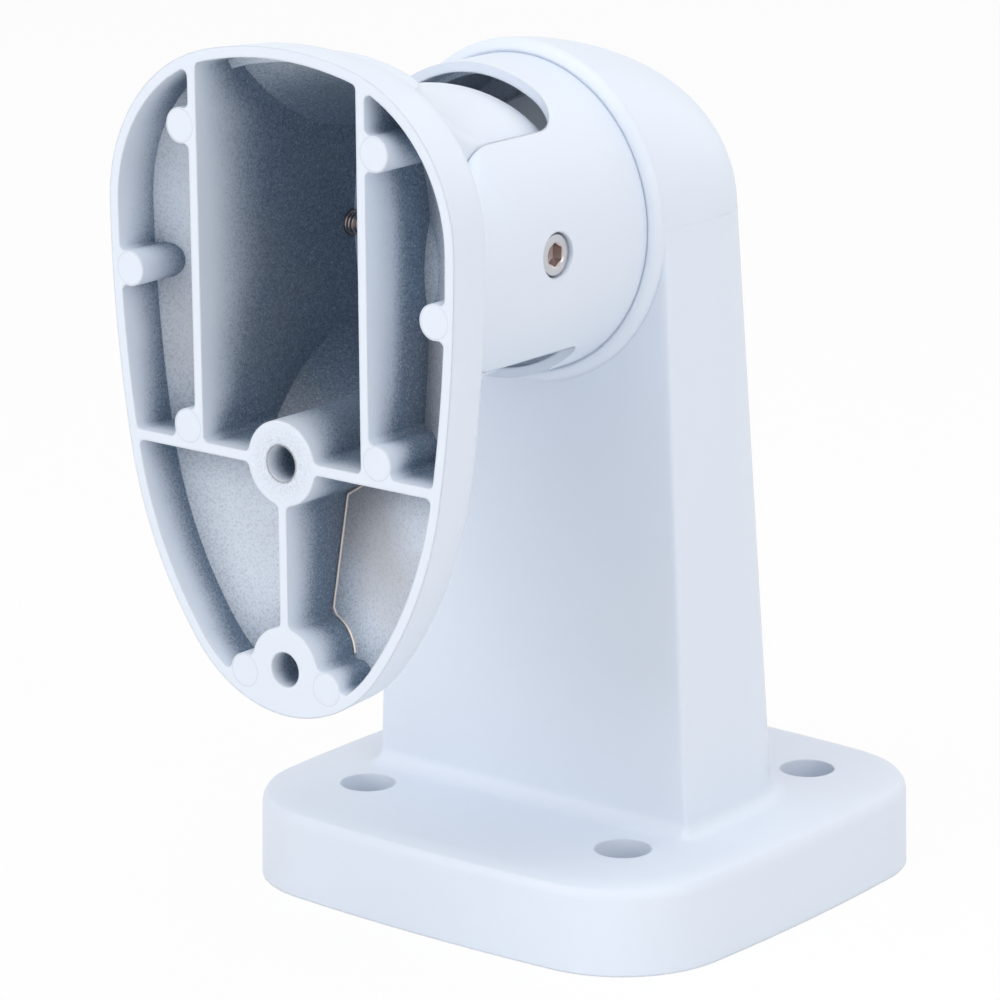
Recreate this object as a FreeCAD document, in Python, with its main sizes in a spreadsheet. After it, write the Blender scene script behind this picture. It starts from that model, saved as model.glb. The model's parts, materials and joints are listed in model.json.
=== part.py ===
"""Two-axis camera bracket: a cast arm on a wall flange, a swivelling housing and a ribbed tilting plate.

Frame: millimetres, Z up the arm, origin on the wall face at the middle of the four wall bolts.
The camera plate faces -Y. The swivel axis is parallel to Y, the tilt axis parallel to X.
"""
import FreeCAD, Part
import math
import os
import re

import Sketcher

V = FreeCAD.Vector

SIZES = (
    # wall flange
    ("base_width", 140.6, "flange along X at the middle of its crowned sides"),
    ("base_depth", 134.6, "flange along Y at the middle of its crowned sides"),
    ("base_crown_radius", 580.0, "radius of the four crowned sides"),
    ("base_corner_radius", 30.0, "radius of the flange corners"),
    ("base_thickness", 23.0, "flange height"),
    ("base_draft", 0.4, "draw of the flange sides"),
    ("base_band_width", 6.0, "width of the bevel round the top face"),
    ("base_band_height", 4.0, "height of the bevel round the top face"),
    ("base_offset", 1.4, "middle of the flange before the middle of the wall bolts"),
    ("bolt_spacing_x", 82.0, "wall bolts along X"),
    ("bolt_spacing_y", 78.0, "wall bolts along Y"),
    ("bolt_hole_diameter", 9.0, "through holes of the wall bolts"),
    ("bolt_head_diameter", 14.0, "counterbores of the wall bolts"),
    ("bolt_head_depth", 13.0, "depth of the counterbores"),
    ("bolt_boss_diameter", 22.0, "bosses round the wall bolts under the flange"),
    ("flange_skin", 4.5, "top wall of the flange"),
    ("flange_rib", 3.0, "cross ribs under the flange"),
    # arm
    ("cast_wall", 4.2, "walls of the arm casting"),
    ("cast_fillet", 2.0, "front corners inside the arm casting"),
    ("axis_height", 175.0, "swivel axis above the wall face"),
    ("head_radius", 42.4, "half-round head of the arm"),
    ("foot_half_width", 49.5, "half width of the column at the flange"),
    ("column_front", 24.3, "front face of the column, before the middle"),
    ("foot_back", 29.0, "back face of the column at the flange"),
    ("head_back", 22.3, "back face of the column at the swivel axis"),
    ("back_corner_radius", 26.0, "rounded back corners of the column and head"),
    ("front_corner_radius", 1.2, "front corners of the column"),
    ("foot_fillet", 4.5, "fillet between column and flange"),
    ("collar_front", 27.5, "front rim of the head, before the middle"),
    ("crown_end", 10.0, "height of the flat end of the crowned head above the axis"),
    ("crown_fall", 1.35, "power by which the crown of the head leaves the front rim"),
    ("crown_corner", 3.1, "power by which the crown of the head meets its back"),
    ("collar_edge_radius", 2.8, "outer edge of the front rim"),
    ("collar_lip_radius", 0.4, "inner edge of the front rim"),
    # swivel
    ("swivel_clearance", 0.25, "gap between housing and seat bore"),
    ("web_front", 6.0, "front of the web behind the housing, before the middle"),
    ("web_thickness", 5.0, "web that carries the swivel"),
    ("spigot_step", 2.2, "step of the housing behind its shoulder"),
    ("shoulder_setback", 12.2, "shoulder of the seat behind the front rim"),
    ("shoulder_gap", 0.6, "gap between the shoulders of housing and seat"),
    ("hub_radius", 19.7, "hub on which the housing turns"),
    ("hub_clearance", 0.3, "gap between hub and housing"),
    ("cable_radius", 12.0, "cable bore through the hub"),
    ("housing_radius", 39.0, "outside of the swivel housing"),
    ("housing_wall", 2.5, "wall of the housing round the ball"),
    ("rear_wall", 4.0, "wall of the housing round its rear chamber"),
    ("housing_floor", 5.0, "floor of the housing"),
    ("glide_thickness", 1.0, "glide rings on both sides of the housing floor"),
    ("glide_radius", 27.0, "outside of the glide rings"),
    ("clamp_gap", 0.2, "gap between hub end and clamp ring"),
    ("clamp_thickness", 3.0, "clamp ring"),
    ("clamp_radius", 27.5, "outside of the clamp ring"),
    ("clamp_bore_radius", 12.5, "inside of the clamp ring"),
    ("clamp_circle_radius", 16.0, "bolt circle of the clamp screws"),
    ("seal_section", 1.0, "section radius of the swivel seal"),
    ("seal_groove_depth", 1.9, "depth of the seal groove"),
    ("seal_groove_width", 2.6, "width of the seal groove"),
    ("seal_setback", 8.5, "middle of the seal groove behind the front rim"),
    ("stop_pin_radius", 2.0, "stop pin in the web"),
    ("stop_circle_radius", 30.8, "distance of the stop pin from the axis"),
    ("stop_pin_length", 7.5, "stop pin"),
    ("stop_pin_proud", 3.5, "length of the stop pin before the web"),
    ("stop_groove_clearance", 0.3, "gap between stop pin and its groove"),
    ("stop_lug_angle", 12.0, "half the angle of the lug that meets the stop pin"),
    # ears and slots of the housing
    ("tilt_forward", 61.4, "tilt axis before the middle"),
    ("ear_gap", 56.0, "distance between the inner faces of the ears"),
    ("ear_front_inset", 8.0, "round front of the ears about the tilt axis, inside the housing radius"),
    ("ear_edge_radius", 3.5, "outer front edges of the ears"),
    ("ear_face_reach", 26.0, "inner faces of the ears behind the tilt axis"),
    ("upper_slot_reach", 17.3, "upper slot behind the tilt axis"),
    ("upper_slot_corner", 10.5, "rear corners of the upper slot"),
    ("lower_slot_reach", 22.5, "lower slot behind the tilt axis"),
    ("lower_slot_corner", 3.5, "rear corners of the lower slot"),
    # tilt screws and washers
    ("tilt_thread_radius", 3.0, "thread of the tilt screws"),
    ("tilt_screw_length", 12.0, "tilt screws under the head"),
    ("tilt_head_radius", 5.0, "heads of the tilt screws"),
    ("tilt_head_height", 6.0, "heads of the tilt screws"),
    ("tilt_key_width", 5.0, "hexagon sockets of the tilt screws"),
    ("tilt_key_depth", 3.0, "hexagon sockets of the tilt screws"),
    ("tilt_counterbore_clearance", 0.5, "gap round the heads of the tilt screws"),
    ("tilt_seat", 32.3, "seats of the tilt screws from the middle plane"),
    ("tilt_washer_radius", 10.5, "friction washers beside the ears"),
    ("tilt_washer_thickness", 0.8, "friction washers beside the ears"),
    ("tilt_washer_gap", 0.1, "running gap of the friction washers"),
    ("screw_clearance", 0.2, "gap round screw shanks in plain holes"),
    ("thread_clearance", 0.03, "gap round screws in tapped holes"),
    # clamp screws and lock washers
    ("clamp_thread_radius", 2.0, "thread of the clamp screws"),
    ("clamp_screw_length", 12.0, "clamp screws under the head"),
    ("clamp_head_radius", 3.5, "heads of the clamp screws"),
    ("clamp_head_height", 4.0, "heads of the clamp screws"),
    ("clamp_key_width", 3.0, "hexagon sockets of the clamp screws"),
    ("clamp_key_depth", 2.0, "hexagon sockets of the clamp screws"),
    ("lock_washer_radius", 3.5, "lock washers"),
    ("lock_washer_thickness", 0.9, "lock washers"),
    ("lock_washer_split", 0.8, "split of the lock washers"),
    # cable bush
    ("bush_bore_radius", 9.5, "inside of the cable bush"),
    ("bush_lip_radius", 15.0, "rear lip of the cable bush"),
    ("bush_lip_thickness", 2.0, "rear lip of the cable bush"),
    ("bush_fit", 0.05, "gap round the cable bush"),
    # camera plate, from the tilt axis
    ("lip_forward", 54.5, "open lip of the plate before the tilt axis"),
    ("plate_half_width", 52.4, "widest half width of the lip"),
    ("plate_wide_level", 10.5, "level of the widest place above the tilt axis"),
    ("plate_crown_radius", 93.0, "top arc of the lip"),
    ("plate_shoulder_radius", 40.4, "shoulder arcs of the lip"),
    ("plate_flank_radius", 352.0, "upper flank arcs of the lip"),
    ("plate_flank_sweep", 9.4, "angle of the upper flank arcs"),
    ("plate_waist_radius", 102.0, "lower flank arcs of the lip"),
    ("plate_toe_radius", 35.0, "bottom arc of the lip"),
    ("rim_depth", 14.0, "depth of the outer rim"),
    ("rim_draft", 0.7, "draw of the rim"),
    ("rim_edge", 3.2, "rounded back edge of the rim"),
    ("rim_wall", 2.6, "wall of the rim at the lip"),
    ("floor_wall", 2.6, "floor of the bays"),
    ("dome_depth", 26.6, "depth of the dome behind the lip"),
    ("dome_share", 0.5, "size of the dome's end, as a share of the lip outline"),
    ("dome_rise", 6.0, "rise of the dome's end above the outline's middle"),
    ("ear_relief", 0.8, "gap between plate and ears"),
    ("relief_width", 42.0, "half width of the hollows round the ears"),
    ("ball_radius", 36.1, "ball of the knuckle"),
    ("knuckle_width", 55.4, "distance between the flats of the knuckle"),
    ("knuckle_bore_width", 48.6, "cable pocket between the flats"),
    ("knuckle_wall", 2.2, "wall of the knuckle above and below the pocket"),
    ("neck_skin", 1.6, "wall of the neck where it leaves the plate's back"),
    ("knuckle_edge_radius", 5.0, "edges between the flats and the ball"),
    ("upper_neck_flare", 46.0, "flare of the neck above the axis"),
    ("lower_neck_flare", 28.0, "flare of the neck below the axis"),
    ("pocket_flare_start", 3.0, "start of the flared pocket behind the tilt axis"),
    ("upper_pocket_flare", 60.0, "flare of the pocket above the axis"),
    ("lower_pocket_flare", 40.0, "flare of the pocket below the axis"),
    ("pocket_back", 6.0, "end of the wide pocket behind the tilt axis"),
    ("window_half_width", 17.0, "cable window at the back of the ball"),
    ("window_half_height", 15.0, "cable window at the back of the ball"),
    ("window_corner_radius", 4.0, "corners of the cable window"),
    ("window_web", 4.0, "web round the cable window"),
    ("back_recess_radius", 22.0, "round recess behind the cable window"),
    ("rib_thickness", 2.5, "ribs of the plate"),
    ("rib_level", 44.9, "cross rib below the tilt axis"),
    ("camera_hole_drop", 45.0, "upper camera hole below the tilt axis"),
    ("camera_hole_spacing", 50.0, "distance between the camera holes"),
    ("camera_hole_diameter", 8.5, "camera holes"),
    ("camera_boss_diameter", 20.5, "bosses round the camera holes"),
    ("pad_radius", 4.25, "round pads beside ribs and rim"),
    ("bay_corner_radius", 1.6, "corners of the bays"),
)

SHEET_NAME = "Size"
DOCUMENT = FreeCAD.newDocument("camera_bracket")
SHEET = DOCUMENT.addObject("Spreadsheet::Sheet", SHEET_NAME)
for row, (alias, value, note) in enumerate(SIZES, 1):
    SHEET.set("A%d" % row, note)
    SHEET.set("B%d" % row, str(value))
    SHEET.setAlias("B%d" % row, alias)
DOCUMENT.recompute()

# round pads of the plate: distance from the middle plane and level from the tilt axis
PAD_PLACES = ((29.4, 31.2), (46.5, -4.9), (29.1, -40.5), (12.7, -97.5))
# soft band round the flange's top face: shares of its width and height
BAND_PROFILE = ((0, 0), (0.06, 0.38), (0.2, 0.67), (0.5, 0.88), (1, 1))
BEYOND = 10.0
CROWN_STEP = 0.05
CROWN_ANGLES = (0, 20, 38, 54, 68, 79, 86, 90)
SUB_PARTS = []


def size(alias):
    """Return a driving size in millimetres or degrees."""
    return float(SHEET.get(alias))


def value_of(expression):
    """Return the number that an expression on the sheet gives."""
    return float(SHEET.evalExpression(expression))


def on_sheet(expression):
    """Return the expression as other objects write it, with the sheet's name before each alias."""
    aliases = {alias for alias, _, _ in SIZES}

    def named(match):
        word = match.group()
        return "%s.%s" % (SHEET_NAME, word) if word in aliases else word

    return re.sub(r"[a-z][a-z_0-9]*", named, expression)


def bind(thing, **expressions):
    """Tie properties of an object to expressions; two underscores in a name stand for a dot."""
    for name, expression in expressions.items():
        thing.setExpression(name.replace("__", "."), on_sheet(expression))


def keep(thing, label):
    """Register a finished sub-part under its own label."""
    thing.Label = label
    SUB_PARTS.append(thing)
    return thing


# Sketches and bodies

ALONG_Y = FreeCAD.Rotation(V(1, 0, 0), -90)
TO_RIGHT = FreeCAD.Rotation(V(0, 1, 0), 90)
TO_LEFT = FreeCAD.Rotation(V(0, 1, 0), -90)


def new_body(name):
    """Make an empty body."""
    return DOCUMENT.addObject("PartDesign::Body", name + "_body")


def new_sketch(body, name, role, offset=None):
    """Make a sketch on one of the body's own origin planes."""
    sketch = body.newObject("Sketcher::SketchObject", name)
    plane = next(feature for feature in body.Origin.OriginFeatures if feature.Role == role)
    sketch.AttachmentSupport = [(plane, "")]
    sketch.MapMode = "FlatFace"
    if offset is not None:
        bind(sketch, AttachmentOffset__Base__z=offset)
    return sketch


def tie(sketch, kind, geometry, point, expression):
    """Tie a coordinate of a sketch point to an expression."""
    place = Sketcher.Constraint(kind, -1, 1, geometry, point, value_of(expression))
    number = sketch.addConstraint(place)
    sketch.setExpression("Constraints[%d]" % number, on_sheet(expression))


def tie_radius(sketch, geometry, expression):
    """Tie the radius of a circle or arc to an expression."""
    number = sketch.addConstraint(Sketcher.Constraint("Radius", geometry, value_of(expression)))
    sketch.setExpression("Constraints[%d]" % number, on_sheet(expression))


def add_outline(sketch, corners):
    """Draw a closed outline through corners given as pairs of expressions."""
    places = [V(value_of(across), value_of(up), 0) for across, up in corners]
    first = sketch.GeometryCount
    count = len(corners)
    for index in range(count):
        sketch.addGeometry(Part.LineSegment(places[index], places[(index + 1) % count]), False)
    for index, (across, up) in enumerate(corners):
        before = first + (index - 1) % count
        sketch.addConstraint(Sketcher.Constraint("Coincident", before, 2, first + index, 1))
        tie(sketch, "DistanceX", first + index, 1, across)
        tie(sketch, "DistanceY", first + index, 1, up)


def add_circle(sketch, radius, across="0", up="0"):
    """Draw a circle."""
    centre = V(value_of(across), value_of(up), 0)
    number = sketch.addGeometry(Part.Circle(centre, V(0, 0, 1), value_of(radius)), False)
    tie_radius(sketch, number, radius)
    tie(sketch, "DistanceX", number, 3, across)
    tie(sketch, "DistanceY", number, 3, up)
    return number


def add_arc(sketch, centre, radius, start, end):
    """Draw an arc anticlockwise between two places; its ends are joined by the caller."""
    middle = V(value_of(centre[0]), value_of(centre[1]), 0)
    angles = []
    for across, up in (start, end):
        angles.append(math.atan2(value_of(up) - middle.y, value_of(across) - middle.x))
    if angles[1] < angles[0]:
        angles[1] += 2 * math.pi
    circle = Part.Circle(middle, V(0, 0, 1), value_of(radius))
    number = sketch.addGeometry(Part.ArcOfCircle(circle, *angles), False)
    tie_radius(sketch, number, radius)
    return number


def add_line(sketch, start, end):
    """Draw a line between two places given as expressions; its ends are joined by the caller."""
    places = [V(value_of(across), value_of(up), 0) for across, up in (start, end)]
    return sketch.addGeometry(Part.LineSegment(*places), False)


def join(sketch, *ends):
    """Join pairs of ends, each given as geometry and point numbers."""
    for one, one_point, other, other_point in ends:
        sketch.addConstraint(Sketcher.Constraint("Coincident", one, one_point, other, other_point))


def turned(body, name, corners):
    """Add a solid of revolution about the body's Z axis from a half profile of radius and level."""
    sketch = new_sketch(body, name + "_profile", "XZ_Plane")
    add_outline(sketch, corners)
    feature = body.newObject("PartDesign::Revolution", name)
    feature.Profile = sketch
    feature.ReferenceAxis = (sketch, ["V_Axis"])
    feature.Angle = 360
    return feature


def cut_pocket(body, name, sketch, depth=None, reverse=False, both_sides=False):
    """Cut a pocket; without a depth it goes right through."""
    feature = body.newObject("PartDesign::Pocket", name)
    feature.Profile = sketch
    if depth is None:
        feature.Type = "ThroughAll"
    else:
        feature.Type = "Length"
        bind(feature, Length=depth)
    feature.Midplane = both_sides
    feature.Reversed = reverse
    return feature


def socket_screw(label, family, rotation, base):
    """Build a socket head cap screw: bearing face at the origin, tip along +Z."""
    body = new_body(label)
    head = family + "_head_height"
    thread = family + "_thread_radius"
    turned(body, label + "_turning", (
        ("0", "0 - " + head),
        ("%s_head_radius * 0.9" % family, "0 - " + head),
        ("%s_head_radius" % family, "%s_head_radius * 0.1 - %s" % (family, head)),
        ("%s_head_radius" % family, "0"),
        (thread, "0"),
        (thread, "%s_screw_length - %s * 0.2" % (family, thread)),
        (thread + " * 0.8", "%s_screw_length" % family),
        ("0", "%s_screw_length" % family),
    ))
    sketch = new_sketch(body, label + "_socket", "XY_Plane", "0 - " + head)
    corner = "%s_key_width / sqrt(3)" % family
    add_outline(sketch, [
        ("%s * cos(%d deg)" % (corner, angle), "%s * sin(%d deg)" % (corner, angle))
        for angle in range(0, 360, 60)
    ])
    cut_pocket(body, label + "_key", sketch, "%s_key_depth" % family, reverse=True)
    place(body, rotation, base)
    return keep(body, label)


def place(thing, rotation, base):
    """Turn an object and tie its base point to expressions."""
    thing.Placement = FreeCAD.Placement(V(), rotation)
    bind(thing, Placement__Base__x=base[0], Placement__Base__y=base[1], Placement__Base__z=base[2])


def ring(label, corners):
    """Build a ring about the swivel axis from corners of radius and depth along Y."""
    body = new_body(label)
    turned(body, label + "_turning", corners)
    place(body, ALONG_Y, ("0", "0", "axis_height"))
    return keep(body, label)


# Depths along the swivel axis, counted along +Y

FLOOR_BACK = "0 - web_front - glide_thickness"
FLOOR_FRONT = "0 - web_front - glide_thickness - housing_floor"
CLAMP_BACK = FLOOR_FRONT + " - glide_thickness"
CLAMP_FRONT = CLAMP_BACK + " - clamp_thickness"
HUB_END = CLAMP_BACK + " + clamp_gap"
WEB_BACK = "0 - web_front + web_thickness"
TILT_Y = "0 - tilt_forward"
EAR_FRONT = "(housing_radius - ear_front_inset)"
EAR_TIP = "0 - tilt_forward - " + EAR_FRONT
EAR_FACE_END = "ear_face_reach - tilt_forward"
SEAL_Y = "seal_setback - collar_front"
SHOULDER_Y = "shoulder_setback - collar_front"


def make_housing():
    """Cast swivel housing: a ring with a floor, two ears, an upper and a lower slot."""
    body = new_body("swivel_housing")
    inner = "housing_radius - housing_wall"
    turned(body, "housing_blank", (
        ("0", EAR_TIP),
        ("housing_radius", EAR_TIP),
        ("housing_radius", SEAL_Y + " - seal_groove_width / 2"),
        ("housing_radius - seal_groove_depth", SEAL_Y + " - seal_groove_width / 2"),
        ("housing_radius - seal_groove_depth", SEAL_Y + " + seal_groove_width / 2"),
        ("housing_radius", SEAL_Y + " + seal_groove_width / 2"),
        ("housing_radius", SHOULDER_Y + " - shoulder_gap"),
        ("housing_radius - spigot_step", SHOULDER_Y + " - shoulder_gap"),
        ("housing_radius - spigot_step", FLOOR_BACK),
        ("hub_radius + hub_clearance", FLOOR_BACK),
        ("hub_radius + hub_clearance", FLOOR_FRONT),
        ("housing_radius - rear_wall", FLOOR_FRONT),
        ("housing_radius - rear_wall", EAR_FACE_END),
        ("0", EAR_FACE_END),
    ))
    channel = new_sketch(body, "ball_channel", "XY_Plane", EAR_TIP)
    half = "ear_gap / 2"
    rise = "sqrt(pow(%s; 2) - pow(%s; 2))" % (inner, half)
    corners = {
        (side, level): ("%s * %d" % (half, side), "%s * %d" % (rise, level))
        for side in (1, -1) for level in (1, -1)
    }
    top = add_arc(channel, ("0", "0"), inner, corners[1, 1], corners[-1, 1])
    left = add_line(channel, corners[-1, 1], corners[-1, -1])
    bottom = add_arc(channel, ("0", "0"), inner, corners[-1, -1], corners[1, -1])
    right = add_line(channel, corners[1, -1], corners[1, 1])
    join(channel, (top, 2, left, 1), (left, 2, bottom, 1), (bottom, 2, right, 1), (right, 2, top, 1))
    join(channel, (top, 3, -1, 1), (bottom, 3, -1, 1))
    for line, point in ((left, 1), (left, 2), (right, 1), (right, 2)):
        tie(channel, "DistanceX", line, point, half + (" * -1" if line == left else ""))
    cut_pocket(body, "ball_channel_cut", channel, EAR_FRONT + " + ear_face_reach", reverse=True)

    for side, reach, corner, reverse in (
        ("upper", "upper_slot_reach", "upper_slot_corner", True),
        ("lower", "lower_slot_reach", "lower_slot_corner", False),
    ):
        sketch = new_sketch(body, side + "_slot", "XZ_Plane")
        front = EAR_TIP + " - 5"
        back = reach + " - tilt_forward"
        start = back + " - " + corner
        inset = "%s - %s" % (half, corner)
        left_centre = ("0 - (%s)" % inset, start)
        left_end = ("0 - (%s)" % inset, back)
        edge = [
            add_line(sketch, ("0 - ear_gap / 2", front), (half, front)),
            add_line(sketch, (half, front), (half, start)),
            add_arc(sketch, (inset, start), corner, (half, start), (inset, back)),
            add_line(sketch, (inset, back), left_end),
            add_arc(sketch, left_centre, corner, left_end, ("0 - ear_gap / 2", start)),
            add_line(sketch, ("0 - ear_gap / 2", start), ("0 - ear_gap / 2", front)),
        ]
        for index in range(6):
            join(sketch, (edge[index], 2, edge[(index + 1) % 6], 1))
        for line, point, across, up in (
            (edge[0], 1, "0 - ear_gap / 2", front),
            (edge[1], 1, half, front),
            (edge[1], 2, half, start),
            (edge[3], 1, inset, back),
            (edge[3], 2, "0 - (%s)" % inset, back),
            (edge[5], 1, "0 - ear_gap / 2", start),
        ):
            tie(sketch, "DistanceX", line, point, across)
            tie(sketch, "DistanceY", line, point, up)
        cut_pocket(body, side + "_slot_cut", sketch, reverse=reverse)

    nose = new_sketch(body, "ear_nose", "YZ_Plane")
    wide = EAR_FRONT + " * 0.98"
    shoulder = EAR_TIP + " * sqrt(1 - 0.98 * 0.98)"
    ends = {side: ("%s * %d" % (wide, side), shoulder) for side in (1, -1)}
    arc = add_arc(nose, ("0", TILT_Y), EAR_FRONT, ends[-1], ends[1])
    front = EAR_TIP + " - 5"
    right = add_line(nose, ends[1], (wide, front))
    base = add_line(nose, (wide, front), ("0 - " + wide, front))
    left = add_line(nose, ("0 - " + wide, front), ends[-1])
    join(nose, (arc, 2, right, 1), (right, 2, base, 1), (base, 2, left, 1), (left, 2, arc, 1))
    tie(nose, "DistanceX", right, 1, wide)
    tie(nose, "DistanceY", right, 1, shoulder)
    tie(nose, "DistanceX", right, 2, wide)
    tie(nose, "DistanceY", right, 2, front)
    tie(nose, "DistanceX", left, 1, "0 - " + wide)
    tie(nose, "DistanceY", left, 1, front)
    tie(nose, "DistanceX", left, 2, "0 - " + wide)
    tie(nose, "DistanceY", left, 2, shoulder)
    cut_pocket(body, "ear_nose_cut", nose, "housing_radius * 3", both_sides=True)

    bores = new_sketch(body, "tilt_bores", "XZ_Plane")
    for side in (1, -1):
        steps = (
            ("ear_gap / 2 - 1", "0"),
            ("ear_gap / 2 - 1", "tilt_thread_radius + screw_clearance"),
            ("tilt_seat", "tilt_thread_radius + screw_clearance"),
            ("tilt_seat", "tilt_head_radius + tilt_counterbore_clearance"),
            ("housing_radius + 2", "tilt_head_radius + tilt_counterbore_clearance"),
            ("housing_radius + 2", "0"),
        )
        add_outline(bores, [("(%s) * %d" % (across, side), "%s - tilt_forward" % up) for across, up in steps])
    axis = add_line(bores, ("0", TILT_Y), ("ear_gap / 4", TILT_Y))
    bores.toggleConstruction(axis)
    for point, across in ((1, "0"), (2, "ear_gap / 4")):
        tie(bores, "DistanceX", axis, point, across)
        tie(bores, "DistanceY", axis, point, TILT_Y)
    groove = body.newObject("PartDesign::Groove", "tilt_bores_cut")
    groove.Profile = bores
    groove.ReferenceAxis = (bores, ["Axis0"])
    groove.Angle = 360

    track = new_sketch(body, "stop_track", "XY_Plane", FLOOR_BACK)
    swept = {}
    for name, sign in (("outer", "+"), ("inner", "-")):
        radius = "(stop_circle_radius %s stop_pin_radius %s stop_groove_clearance)" % (sign, sign)
        start = ("%s * sin(stop_lug_angle * 1 deg)" % radius, "0 - %s * cos(stop_lug_angle * 1 deg)" % radius)
        end = ("0 - " + start[0], start[1])
        swept[name] = (radius, start, end)
    outer = add_arc(track, ("0", "0"), *swept["outer"])
    inner_arc = add_arc(track, ("0", "0"), *swept["inner"])
    one = add_line(track, swept["outer"][1], swept["inner"][1])
    other = add_line(track, swept["outer"][2], swept["inner"][2])
    join(track, (outer, 3, -1, 1), (inner_arc, 3, -1, 1))
    join(track, (one, 1, outer, 1), (one, 2, inner_arc, 1), (other, 1, outer, 2), (other, 2, inner_arc, 2))
    for line, index in ((one, 1), (other, 2)):
        tie(track, "DistanceX", line, 1, swept["outer"][index][0])
        tie(track, "DistanceX", line, 2, swept["inner"][index][0])
    cut_pocket(body, "stop_track_cut", track, "stop_pin_proud - glide_thickness + stop_groove_clearance")
    place(body, ALONG_Y, ("0", "0", "axis_height"))
    body.Label = "swivel_housing_body"
    DOCUMENT.recompute()
    rounded = DOCUMENT.addObject("Part::Feature", "swivel_housing_rounded")
    rounded.Shape = body.Shape.makeFillet(size("ear_edge_radius"), ear_edges(body.Shape))
    return keep(rounded, "swivel_housing")


def ear_edges(shape):
    """Outer front edges of the ears, where the round outside meets the round front."""
    outside = size("housing_radius")
    front = size("housing_radius") - size("ear_front_inset")
    found = []
    for edge in shape.Edges:
        first, last = edge.FirstParameter, edge.LastParameter
        points = [edge.valueAt(first + (last - first) * share) for share in (0.0, 0.3, 0.5, 0.8, 1.0)]
        on_outside = all(abs(math.hypot(p.x, p.z - size("axis_height")) - outside) < 0.02 for p in points)
        from_tilt = [math.hypot(p.y + size("tilt_forward"), p.z - size("axis_height")) for p in points]
        on_front = all(abs(reach - front) < 0.02 for reach in from_tilt)
        if on_outside and on_front:
            found.append(edge)
    return found


def make_swivel_rings():
    """Glide rings, clamp ring and seal round the swivel axis, and the cable bush in the hub."""
    bore = "hub_radius + hub_clearance"
    for label, back in (("rear_glide_ring", "0 - web_front"), ("front_glide_ring", FLOOR_FRONT)):
        front = back + " - glide_thickness"
        ring(label, ((bore, front), ("glide_radius", front), ("glide_radius", back), (bore, back)))
    clamp = ring("clamp_ring", (
        ("clamp_bore_radius", CLAMP_FRONT),
        ("clamp_radius - 0.6", CLAMP_FRONT),
        ("clamp_radius", CLAMP_FRONT + " + 0.6"),
        ("clamp_radius", CLAMP_BACK),
        ("clamp_bore_radius", CLAMP_BACK),
    ))
    holes = new_sketch(clamp, "clamp_holes", "XY_Plane", CLAMP_FRONT)
    for across, up in clamp_places():
        add_circle(holes, "clamp_thread_radius + screw_clearance", across, up)
    cut_pocket(clamp, "clamp_holes_cut", holes, reverse=True)
    ring("cable_bush", (
        ("bush_bore_radius", HUB_END),
        ("cable_radius - bush_fit", HUB_END),
        ("cable_radius - bush_fit", WEB_BACK + " + bush_fit"),
        ("bush_lip_radius", WEB_BACK + " + bush_fit"),
        ("bush_lip_radius", WEB_BACK + " + bush_lip_thickness"),
        ("bush_bore_radius", WEB_BACK + " + bush_lip_thickness"),
    ))
    seal = DOCUMENT.addObject("Part::Torus", "swivel_seal_torus")
    bind(seal, Radius1="housing_radius + swivel_clearance - seal_section - 0.1", Radius2="seal_section")
    place(seal, ALONG_Y, ("0", SEAL_Y, "axis_height"))
    keep(seal, "swivel_seal")


def clamp_places():
    """Return the places of the clamp screws in the ring's own plane, as expressions."""
    return [
        ("clamp_circle_radius * cos(%d deg)" % angle, "clamp_circle_radius * sin(%d deg)" % angle)
        for angle in (45, 135, 225, 315)
    ]


def make_clamp_screws():
    """Clamp screws with their split lock washers."""
    for number, (across, up) in enumerate(clamp_places(), 1):
        level = "axis_height - " + up
        washer = new_body("clamp_washer_%d" % number)
        turned(washer, "washer_%d_turning" % number, (
            ("clamp_thread_radius + screw_clearance", "0 - lock_washer_thickness"),
            ("lock_washer_radius", "0 - lock_washer_thickness"),
            ("lock_washer_radius", "0"),
            ("clamp_thread_radius + screw_clearance", "0"),
        ))
        split = new_sketch(washer, "washer_%d_split" % number, "XY_Plane", "0 - lock_washer_thickness")
        add_outline(split, (
            ("0", "0 - lock_washer_split / 2"),
            ("lock_washer_radius + 1", "0 - lock_washer_split / 2"),
            ("lock_washer_radius + 1", "lock_washer_split / 2"),
            ("0", "lock_washer_split / 2"),
        ))
        cut_pocket(washer, "washer_%d_split_cut" % number, split, reverse=True)
        place(washer, ALONG_Y, (across, CLAMP_FRONT, level))
        keep(washer, "clamp_washer_%d" % number)
        head = CLAMP_FRONT + " - lock_washer_thickness"
        socket_screw("clamp_screw_%d" % number, "clamp", ALONG_Y, (across, head, level))


def make_tilt_hardware():
    """Tilt screws and friction washers, right and left."""
    for side, sign, inward in (("right", 1, TO_LEFT), ("left", -1, TO_RIGHT)):
        place_of_head = ("tilt_seat * %d" % sign, TILT_Y, "axis_height")
        socket_screw("tilt_screw_" + side, "tilt", inward, place_of_head)
        label = "tilt_washer_" + side
        washer = new_body(label)
        turned(washer, label + "_turning", (
            ("tilt_thread_radius + screw_clearance", "0"),
            ("tilt_washer_radius", "0"),
            ("tilt_washer_radius", "tilt_washer_thickness"),
            ("tilt_thread_radius + screw_clearance", "tilt_washer_thickness"),
        ))
        face = "(ear_gap / 2 - tilt_washer_gap) * %d" % sign
        place(washer, inward, (face, TILT_Y, "axis_height"))
        keep(washer, label)


def make_stop_pin():
    """Stop pin in the web, under the swivel axis."""
    pin = DOCUMENT.addObject("Part::Cylinder", "stop_pin_cylinder")
    bind(pin, Radius="stop_pin_radius", Height="stop_pin_length")
    place(pin, ALONG_Y, ("0", "0 - web_front - stop_pin_proud", "axis_height - stop_circle_radius"))
    keep(pin, "stop_pin")


# Solids worked out from the sheet by Part's own functions


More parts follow.
